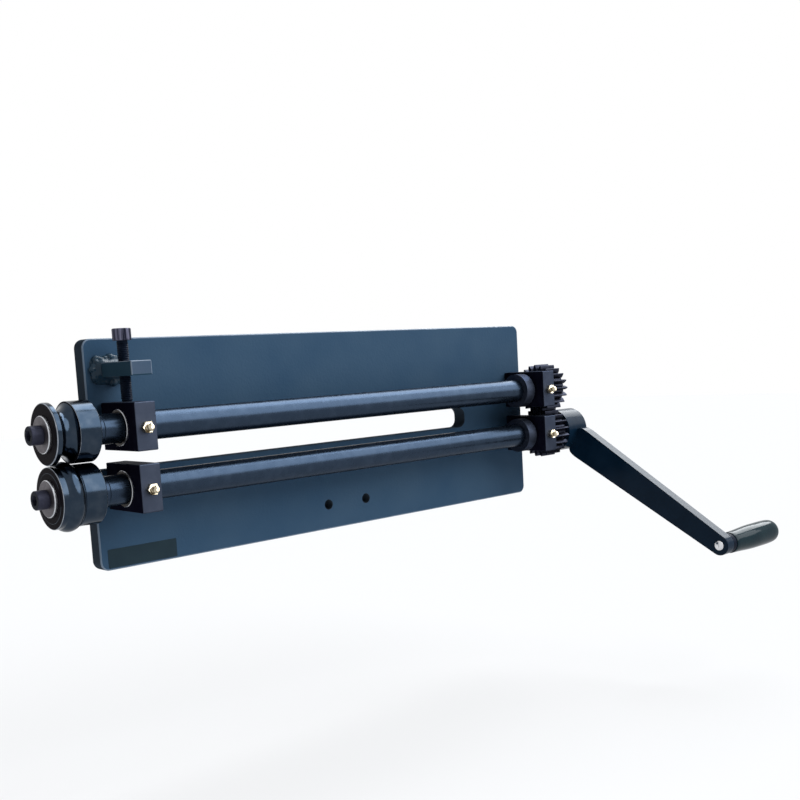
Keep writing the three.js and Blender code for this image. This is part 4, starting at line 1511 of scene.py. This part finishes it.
@dataclass
class ShaftLine(SubAssembly):
    """One shaft with its die, washer, screw, rear collar and gear."""

    line: Line
    axis: Vector
    shaft: float = 12.7 * MM
    tapped_depth: float = 26.5 * MM
    tapped_radius: float = 5.05 * MM
    spigot: float = 11.0 * MM
    shoulder: float = -293.0 * MM
    die_left: float = -331.0 * MM
    die_radius: float = 25.4 * MM
    groove_centre: float = -319.0 * MM
    groove_width: float = 15 * MM
    groove_depth: float = 6.5 * MM
    bead_width: float = 13 * MM
    bead_height: float = 3.2 * MM
    arc_steps: int = 28
    washer_radius: float = 15.3 * MM
    washer_thickness: float = 2.5 * MM
    washer_chamfer: float = 0.6 * MM
    screw_length: float = 28 * MM
    collar_radius: float = 19 * MM
    collar_boss: float = 15 * MM
    collar_boss_length: float = 2.6 * MM
    collar_hole: float = 3.1 * MM
    chamfer: float = 1 * MM
    ring_mark: tuple[float, float, float] = (8.6 * MM, 8.9 * MM, 9.2 * MM)
    ring_mark_depth: float = 0.35 * MM
    die_edge: float = 0.8 * MM

    def build(self) -> None:
        """Builds every turned piece of the line."""
        self._shaft()
        self._die()
        self._die_fixing()
        self._collar()
        Gear(self.line, self.axis).build()
        for part in ("die_key", "gear_key"):
            self.dress_node(f"{self.line.value}_{part}", Finish.WASHER)
        self.dress_node(f"{self.line.value}_collar_set_screw", Finish.SCREW)

    def _shaft(self) -> None:
        """Turns the shaft with its spigot for the die and a fine ring mark past the shoulder."""
        low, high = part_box(f"{self.line.value}_shaft")
        left, shoulder, radius, chamfer = low.x, self.shoulder, self.shaft, self.chamfer
        start, deepest, end = (shoulder + along for along in self.ring_mark)
        shaft = Bench.turn(f"{self.line.value}_line_shaft", [
            (left + self.tapped_depth, 0.0), (left + self.tapped_depth, self.tapped_radius),
            (left, self.tapped_radius), (left, self.spigot - chamfer), (left + chamfer, self.spigot),
            (shoulder, self.spigot), (shoulder, radius - 0.4 * MM), (shoulder + 0.4 * MM, radius),
            (start, radius), (deepest, radius - self.ring_mark_depth), (end, radius),
            (high.x - chamfer, radius), (high.x, radius - chamfer), (high.x, 0.0),
        ], segments=128)
        Bench.finish_edges(shaft, 0.15 * MM, segments=2)
        Bench.seat(shaft, self.axis)
        self.hand_in(shaft, f"{self.line.value}_shaft", Finish.SHAFT)

    def _arc(self, half: float, rise: float) -> list[Station]:
        """Gives the round of a groove or of a bead.

        Args:
            half: Half its width.
            rise: Its height over the die's round, below zero for a groove.

        Returns:
            Its stations, from left to right.
        """
        deep = abs(rise)
        radius = (half * half + deep * deep) / (2 * deep)
        sweep = pi / 2 if half >= radius else acos((radius - deep) / radius)
        sign = 1.0 if rise > 0 else -1.0
        stations = []
        for step in range(self.arc_steps + 1):
            angle = -sweep + 2 * sweep * step / self.arc_steps
            lift = radius * cos(angle) - (radius - deep)
            stations.append((self.groove_centre + radius * sin(angle), self.die_radius + sign * lift))
        return stations

    def _die(self) -> None:
        """Turns the grooved die of the upper line or the beaded die of the lower one."""
        left, right, rim, edge = self.die_left, self.shoulder, self.die_radius, self.die_edge
        bore = self.spigot + 0.15 * MM
        if self.line is Line.UPPER:
            outside = [
                (left, rim - edge), (left + edge, rim), *self._arc(self.groove_width / 2, -self.groove_depth),
            ]
            # Places of the edge rings that are worn bare and painted light as highlight lines.
            worn = (left, left + 4.5 * MM, self.groove_centre + self.groove_width / 2, right)
        else:
            wide = 4.8 * MM
            outside = [
                (left, rim - wide - 0.3 * MM), (left + 0.12 * MM, rim - wide),
                (left + 0.35 * MM, rim - 0.35 * MM), (left + 0.7 * MM, rim),
                *self._arc(self.bead_width / 2, self.bead_height),
                (left + 19.0 * MM, rim), (left + 19.35 * MM, rim - 0.55 * MM), (left + 19.7 * MM, rim),
            ]
            # Places of the edge rings that are worn bare and painted light as highlight lines.
            worn = (left, left + 0.4 * MM, right)
        inside = [(right - edge, rim), (right, rim - edge), (right, bore), (left, bore)]
        die = Bench.turn(f"{self.line.value}_roller_die", [(left, bore), *outside, *inside], segments=160)
        Bench.finish_edges(die, 0.3 * MM, segments=3, above=radians(22.0))

        def zone(face: bpy.types.MeshPolygon) -> Finish:
            """Tells apart the die's round form, its end faces painted dark as shade and its edges, worn bare
            and painted light as highlight lines.

            Args:
                face: A face of the die.

            Returns:
                Its finish.
            """
            out, along = face.center.yz.length, abs(face.normal.x)
            # End faces are painted dark as shade.
            if along > 0.95 and out < rim - 0.3 * MM:
                return Finish.DIE_FACE
            # Edges near these places are painted light as highlight lines.
            near = min(abs(face.center.x - place) for place in worn) < 0.7 * MM
            return Finish.DIE_EDGE if near and along > 0.25 and out > rim - 0.8 * MM else Finish.DIE

        self.dress_faces(die, zone)
        Bench.seat(die, self.axis)
        self.hand_in(die, f"{self.line.value}_die")

    def _die_fixing(self) -> None:
        """Builds the die's washer and the screw that holds it."""
        left, right = self.die_left - self.washer_thickness, self.die_left
        hole, rim, chamfer = M10.shank / 2 + 0.2 * MM, self.washer_radius, self.washer_chamfer
        washer = Bench.turn(f"{self.line.value}_end_washer", [
            (left, hole), (left, rim - chamfer), (left + chamfer, rim), (right, rim), (right, hole),
            (left, hole),
        ], segments=128)
        Bench.finish_edges(washer, 0.25 * MM, segments=2)

        def zone(face: bpy.types.MeshPolygon) -> Finish:
            """Gives the chamfered rim its painted highlight and the ground faces their own finish."""
            # The chamfered rim is painted light as a highlight line.
            return Finish.RIM if face.center.yz.length > rim - chamfer - 0.05 * MM else Finish.WASHER

        self.dress_faces(washer, zone)
        Bench.seat(washer, self.axis)
        self.hand_in(washer, f"{self.line.value}_die_washer")
        screw = ScrewMaker().cap_screw(f"{self.line.value}_end_screw", M10, self.screw_length)
        # The screw's end faces, its head's top among them, are painted near-black as shade.
        self.dress_faces(screw, lambda face: Finish.THREAD if abs(face.normal.x) > 0.9 else Finish.SCREW)
        Bench.place(screw, (left, self.axis.y, self.axis.z), Heading.RIGHT)
        self.hand_in(screw, f"{self.line.value}_die_screw")

    def _collar(self) -> None:
        """Turns the collar in front of the rear block, with its set screw's hole."""
        low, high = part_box(f"{self.line.value}_rear_collar")
        bore = self.shaft + 0.12 * MM
        step = high.x - self.collar_boss_length
        collar = Bench.turn(f"{self.line.value}_stop_collar", [
            (low.x, bore), (low.x, self.collar_radius), (step, self.collar_radius), (step, self.collar_boss),
            (high.x, self.collar_boss), (high.x, bore), (low.x, bore),
        ], segments=128)
        hole = Bench.bar("hole", self.collar_hole, 0.0, self.collar_radius + 5 * MM, sides=32)
        Bench.place(hole, ((low.x + step) / 2, 0.0, 0.0), Heading.BACK)
        Bench.carve(collar, hole)
        Bench.finish_edges(collar, 0.8 * MM)
        Bench.seat(collar, self.axis)
        self.hand_in(collar, f"{self.line.value}_rear_collar", Finish.BLOCK)


@dataclass
class Gear(SubAssembly):
    """One of the two equal spur gears, with its boss."""

    line: Line
    axis: Vector
    teeth: int = 20
    base: float = 23.4923 * MM
    working: float = 25.7 * MM
    tip: float = 28.4 * MM
    root: float = 22.1 * MM
    backlash: float = 0.8 * MM
    flank_steps: int = 7
    width: float = 24.5 * MM
    boss: float = 18 * MM
    bore: float = 12.85 * MM
    edge: float = 0.3 * MM
    foot_rise: float = 0.2 * MM
    foot_angles: tuple[float, float] = (0.016, 0.003)

    def _half_angle(self, radius: float) -> float:
        """Works out how much of the round a tooth takes at a radius.

        Args:
            radius: The radius.

        Returns:
            Half the angle that it takes.
        """
        def involute(angle: float) -> float:
            """Gives the involute of an angle."""
            return tan(angle) - angle

        at_working = (pi / self.teeth - self.backlash / 2 / self.working) / 2
        return (at_working + involute(acos(self.base / self.working))
                - involute(acos(min(1.0, self.base / radius))))

    def _tooth(self, shift: float) -> list[tuple[float, float]]:
        """Works out one tooth's outline, from the middle of one gap to the middle of the next.

        Args:
            shift: The angle at which the tooth stands.

        Returns:
            Its corners, as (y, z).
        """
        flank = [
            (radius, self._half_angle(radius))
            for radius in (self.base + (self.tip - self.base) * step / self.flank_steps
                           for step in range(self.flank_steps + 1))
        ]
        foot = self._half_angle(self.base)
        wide, narrow = (foot + angle for angle in self.foot_angles)
        rise = [(self.root, pi / self.teeth), (self.root, wide), (self.root + self.foot_rise, narrow), *flank]
        points = [(radius, -angle) for radius, angle in rise]
        points += [(radius, angle) for radius, angle in reversed(rise)]
        return [(radius * cos(shift + angle), radius * sin(shift + angle)) for radius, angle in points]

    def build(self) -> None:
        """Builds the gear: one tooth is drawn, repeated round the axis, closed and extruded."""
        node = f"{self.line.value}_gear"
        low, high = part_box(node)
        shift = pi / self.teeth if self.line is Line.LOWER else 0.0
        gear = Bench.draw(f"{self.line.value}_spur_gear", [(low.x, y, z) for y, z in self._tooth(shift)])
        bpy.ops.mesh.spin(
            steps=self.teeth, dupli=True, angle=2 * pi, center=(0.0, 0.0, 0.0), axis=(1.0, 0.0, 0.0)
        )
        bpy.ops.mesh.select_all(action="SELECT")
        bpy.ops.mesh.remove_doubles(threshold=Bench.MERGE_DISTANCE)
        bpy.ops.mesh.select_all(action="SELECT")
        bpy.ops.mesh.edge_face_add()
        bpy.ops.mesh.extrude_region_move(TRANSFORM_OT_translate={"value": (self.width, 0.0, 0.0)})
        bpy.ops.mesh.select_all(action="SELECT")
        bpy.ops.mesh.normals_make_consistent(inside=False)
        bpy.ops.object.mode_set(mode="OBJECT")
        Bench.weld(gear, Bench.bar("boss", self.boss, low.x + 2 * MM, high.x))
        Bench.carve(gear, Bench.bar("bore", self.bore, low.x - MM, high.x + MM))
        Bench.finish_edges(gear, self.edge, segments=2, above=radians(35.0))
        Bench.seat(gear, self.axis)
        self.hand_in(gear, node, Finish.GEAR)


@dataclass
class RetainingRing(SubAssembly):
    """The open ring that keeps the upper gear on its shaft."""

    axis: Vector
    outside: float = 15 * MM
    inside: float = 11.75 * MM
    opening: float = 7 * MM

    def build(self) -> None:
        """Builds the ring with its gap upwards."""
        low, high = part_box("upper_gear_ring")
        ring = Bench.tube("gear_retaining_ring", low.x, high.x, self.inside, self.outside)
        half = self.opening / 2
        Bench.carve(ring, Bench.block("gap", (low.x - MM, -half, 0.0), (high.x + MM, half, 20 * MM)))
        Bench.finish_edges(ring, 0.2 * MM, segments=2)
        Bench.seat(ring, self.axis)
        self.hand_in(ring, "upper_gear_ring", Finish.SCREW)


@dataclass
class Crank(SubAssembly):
    """The cast crank with its hub, rivet pin, collar and turning grip."""

    axis: Vector
    reach: float = 243 * MM
    droop: float = radians(30.5)
    hub_radius: float = 24.5 * MM
    hub_left: float = 300.1 * MM
    hub_right: float = 332.6 * MM
    arm_left: float = 314.1 * MM
    arm_right: float = 326.3 * MM
    neck_half: float = 12 * MM
    root_half: float = 19.3 * MM
    end_half: float = 10.85 * MM
    shoulder_reach: float = 34 * MM
    arm_edge: float = 1.5 * MM
    bore: float = 12.85 * MM
    pin_head: float = 5.5 * MM
    pin_rise: float = 2.8 * MM
    pin: float = 5 * MM
    collar_radius: float = 10.8 * MM
    collar_edge: float = 0.6 * MM
    play: float = 0.15 * MM
    set_hole: float = 4.15 * MM
    dimple: tuple[Station, ...] = ((1.3 * MM, 0.0), (0.9 * MM, 0.7 * MM), (0.0, 1.7 * MM))
    grip_end: float = 9 * MM
    grip_stations: tuple[Station, ...] = (
        (0.0, 11.0), (0.006, 11.5), (0.05, 11.7), (0.12, 11.95), (0.2, 12.25), (0.3, 12.8), (0.4, 13.25),
        (0.5, 13.5), (0.6, 13.55), (0.72, 13.55), (0.8, 13.5), (0.87, 13.3), (0.92, 13.05), (0.95, 12.6),
        (0.97, 11.9), (0.985, 10.8), (0.995, 9.4), (1.0, 8.0),
    )

    def _swing(self, piece: bpy.types.Object) -> None:
        """Turns a piece modelled level to the crank's angle at rest and moves it to the lower shaft.

        Args:
            piece: The piece.
        """
        Bench.pick(piece)
        piece.rotation_euler = (self.droop, 0.0, 0.0)
        piece.location = (0.0, self.axis.y, self.axis.z)
        Bench.settle()

    def _out(self, piece: bpy.types.Object) -> None:
        """Moves a piece turned about the X axis out to the grip's axis and swings it with the arm."""
        Bench.place(piece, (0.0, -self.reach, 0.0), Heading.RIGHT)
        self._swing(piece)

    def build(self) -> None:
        """Builds the crank and everything on it."""
        self._arm()
        self._pin()
        self._grip()
        self.dress_node("crank_key", Finish.WASHER)
        self.dress_node("crank_set_screw", Finish.SCREW)
        self.dress_node("grip_snap_ring", Finish.WASHER)

    def _shoulder(self) -> list[tuple[float, float]]:
        """Works out the round shoulder from the neck at the hub to the arm's full width.

        Returns:
            Its points, as (y, z).
        """
        edge = -sqrt(self.hub_radius ** 2 - self.neck_half ** 2)
        full = self.root_half + (self.end_half - self.root_half) * self.shoulder_reach / self.reach
        points = []
        for step in range(11):
            share = step / 10
            y = edge * (1 - share * share) - self.shoulder_reach * share * share
            z = self.neck_half * (1 - share) ** 2 + full * (2 * share - share * share)
            points.append((y, z))
        return points

    def _arm(self) -> None:
        """Builds the arm and hub as one casting with filleted edges."""
        half, neck = self._shoulder(), self.neck_half
        tip = [
            (-self.reach + self.end_half * cos(angle), self.end_half * sin(angle))
            for angle in (pi / 2 + pi * step / 24 for step in range(25))
        ]
        outline = [(0.0, neck), *half, *tip, *((y, -z) for y, z in reversed(half)), (0.0, -neck)]
        arm = Bench.slab("crank_casting", outline, self.arm_left, self.arm_right)
        hub = Bench.bar("hub", self.hub_radius, self.hub_left, self.hub_right, sides=128)
        Bench.weld(arm, hub)
        Bench.finish_edges(arm, self.arm_edge, segments=5, above=radians(35.0))
        bore = Bench.bar("bore", self.bore, self.hub_left - MM, self.hub_right + MM, sides=96)
        clear = self.pin + self.play
        pin_hole = Bench.bar("pin_hole", clear, self.arm_left - MM, self.arm_right + MM, sides=48)
        Bench.place(pin_hole, (0.0, -self.reach, 0.0), Heading.RIGHT)
        set_hole = Bench.bar("set_hole", self.set_hole, 0.0, 40 * MM, sides=48)
        Bench.place(set_hole, ((self.hub_left + self.hub_right) / 2, 0.0, 0.0), Heading.BACK)
        Bench.carve(arm, bore, pin_hole, set_hole)
        Bench.smooth(arm)
        self._swing(arm)
        self.hand_in(arm, "crank_arm", Finish.CRANK)

    def _pin(self) -> None:
        """Builds the riveted pin and the collar that spaces the grip from the arm."""
        low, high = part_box("grip_pin")
        face = self.arm_left
        peak = face - self.pin_rise
        dimple = [(peak + along, radius) for along, radius in self.dimple]
        dome = [
            (face - self.pin_rise * cos(angle), self.pin_head * sin(angle))
            for angle in (pi / 2 * step / 10 for step in range(3, 11))
        ]
        shank = [(face, self.pin), (high.x, self.pin), (high.x, 0.0)]
        pin = Bench.turn("rivet_pin", [*dimple, *dome, *shank], segments=64)
        Bench.smooth(pin)
        self._out(pin)
        self.hand_in(pin, "grip_pin", Finish.RIVET)
        low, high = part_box("grip_collar")
        collar = Bench.tube("grip_spacer", low.x, high.x, self.pin + self.play, self.collar_radius)
        Bench.finish_edges(collar, self.collar_edge)
        self._out(collar)
        # The grip collar is painted near-black as the shade in the gap between arm and grip.
        self.hand_in(collar, "grip_collar", Finish.THREAD)

    def _grip(self) -> None:
        """Turns the barrel-shaped grip over its blind bore."""
        low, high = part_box("grip")
        length = high.x - low.x
        outside = [(low.x + share * length, radius * MM) for share, radius in self.grip_stations]
        bore, depth = self.pin + self.play, length - self.grip_end
        inside = [(low.x + depth, 0.0), (low.x + depth, bore), (low.x, bore)]
        grip = Bench.turn("turning_grip", [*inside, *outside, (high.x, 0.0)], segments=96)
        Bench.finish_edges(grip, 0.5 * MM, segments=2, above=radians(50.0))
        self._out(grip)
        self.hand_in(grip, "grip", Finish.GRIP)


# Studio


@dataclass
class Studio:
    """The camera at the photograph's place, a pale floor and plain soft lamps."""

    camera_place: tuple[float, float, float] = (-679.7 * MM, -848.5 * MM, 140.5 * MM)
    yaw: float = radians(42.109)
    pitch: float = radians(-6.045)
    roll: float = radians(-3.330)
    lens: float = 47.006
    sensor: float = 36.0
    shift: tuple[float, float] = (0.002275, 0.0907)
    floor_height: float = -220 * MM
    floor_size: float = 12.0
    floor_glow: float = 1.25
    floor_share: float = 0.45
    ambient: float = 0.15
    lamp_color: Color = (0.95, 0.98, 1.0)

    def build(self) -> None:
        """Sets up the camera, the floor, the world and the lamps."""
        self._camera()
        self._floor()
        self._world()
        self._lamp("front_light", heading=-52.0, height=40.0, spread=60.0, power=3.0)
        self._lamp("high_light", heading=15.0, height=46.0, spread=44.0, power=3.7)
        bpy.context.scene.view_settings.view_transform = "Standard"

    def _camera(self) -> None:
        """Places the camera that was fitted to the photograph."""
        ahead = cos(self.pitch)
        forward = Vector((sin(self.yaw) * ahead, cos(self.yaw) * ahead, sin(self.pitch)))
        level = Vector((cos(self.yaw), -sin(self.yaw), 0.0))
        upright = level.cross(forward)
        right = cos(self.roll) * level + sin(self.roll) * upright
        up = cos(self.roll) * upright - sin(self.roll) * level
        data = bpy.data.cameras.new("photo_camera")
        data.sensor_width = self.sensor
        data.lens = self.lens
        data.shift_x, data.shift_y = self.shift
        camera = bpy.data.objects.new("photo_camera", data)
        turn = Matrix((right, up, -forward)).transposed().to_4x4()
        camera.matrix_world = Matrix.Translation(self.camera_place) @ turn
        bpy.context.collection.objects.link(camera)
        bpy.context.scene.camera = camera

    def _floor(self) -> None:
        """Adds the pale floor, which glows in part where it is seen and keeps the machine's soft shadow."""
        bpy.ops.object.select_all(action="DESELECT")
        bpy.ops.mesh.primitive_plane_add(size=self.floor_size, location=(0.0, 0.0, self.floor_height))
        floor = Bench.name_new("studio_floor")
        sheet = ShaderSheet("pale_floor")
        sheet.dress(base_color=(0.5, 0.5, 0.51, 1.0), roughness=0.9, specular_ior_level=0.0)
        white = {"Color": (1.0, 1.0, 1.0, 1.0), "Strength": self.floor_glow}
        glow = sheet.node("ShaderNodeEmission", inputs=white)
        mix = sheet.node("ShaderNodeMixShader", inputs={
            0: sheet.seen() * self.floor_share,
            1: Socket(sheet, sheet.shader.outputs[0]),
            2: Socket(sheet, glow.outputs[0]),
        })
        sheet.feed(sheet.tree.nodes["Material Output"].inputs["Surface"], Socket(sheet, mix.outputs[0]))
        floor.data.materials.append(sheet.material)

    def _world(self) -> None:
        """Makes a background that is seen white and lights the machine with less."""
        world = bpy.data.worlds.new("studio_world")
        world.use_nodes = True
        bpy.context.scene.world = world
        sheet = NodeSheet(world.node_tree)
        inputs = {"Value": sheet.seen(), "To Min": self.ambient, "To Max": 1.0}
        background = sheet.tree.nodes["Background"]
        sheet.feed(background.inputs["Color"], (1.0, 1.0, 1.0, 1.0))
        sheet.feed(background.inputs["Strength"], sheet.value("ShaderNodeMapRange", {}, inputs))

    def _lamp(self, name: str, heading: float, height: float, spread: float, power: float) -> None:
        """Adds one broad soft light from far off.

        Args:
            name: The lamp's name.
            heading: The way to it round the upright axis, from +X, in degrees.
            height: Its height over the horizon, in degrees.
            spread: How wide it looks, in degrees.
            power: Its power in watts per square metre.
        """
        data = bpy.data.lights.new(name, "SUN")
        data.energy = power
        data.angle = radians(spread)
        data.color = self.lamp_color
        lamp = bpy.data.objects.new(name, data)
        turn, lift = radians(heading), radians(height)
        towards = Vector((cos(lift) * cos(turn), cos(lift) * sin(turn), sin(lift)))
        lamp.location = towards * 2
        lamp.rotation_euler = towards.to_track_quat("Z", "Y").to_euler()
        bpy.context.collection.objects.link(lamp)


def build_all() -> Iterable[SubAssembly | Studio]:
    """Gives every sub-assembly in the order of building.

    Returns:
        The sub-assemblies, with the studio first.
    """
    lower, upper = middle("lower_shaft"), middle("upper_shaft")
    yield Studio()
    yield FramePlate()
    yield AdjusterBracket()
    for line, axis in ((Line.LOWER, lower), (Line.UPPER, upper)):
        for end in End:
            yield BearingBlock(line=line, end=end, axis=axis)
        yield ShaftLine(line=line, axis=axis)
    yield RetainingRing(axis=upper)
    yield BackFasteners()
    yield Crank(axis=lower)


def main() -> None:
    """Builds the machine and the studio."""
    logging.basicConfig(level=logging.INFO)
    for part in build_all():
        part.build()
    bpy.context.view_layer.update()


if __name__ == "__main__":
    main()
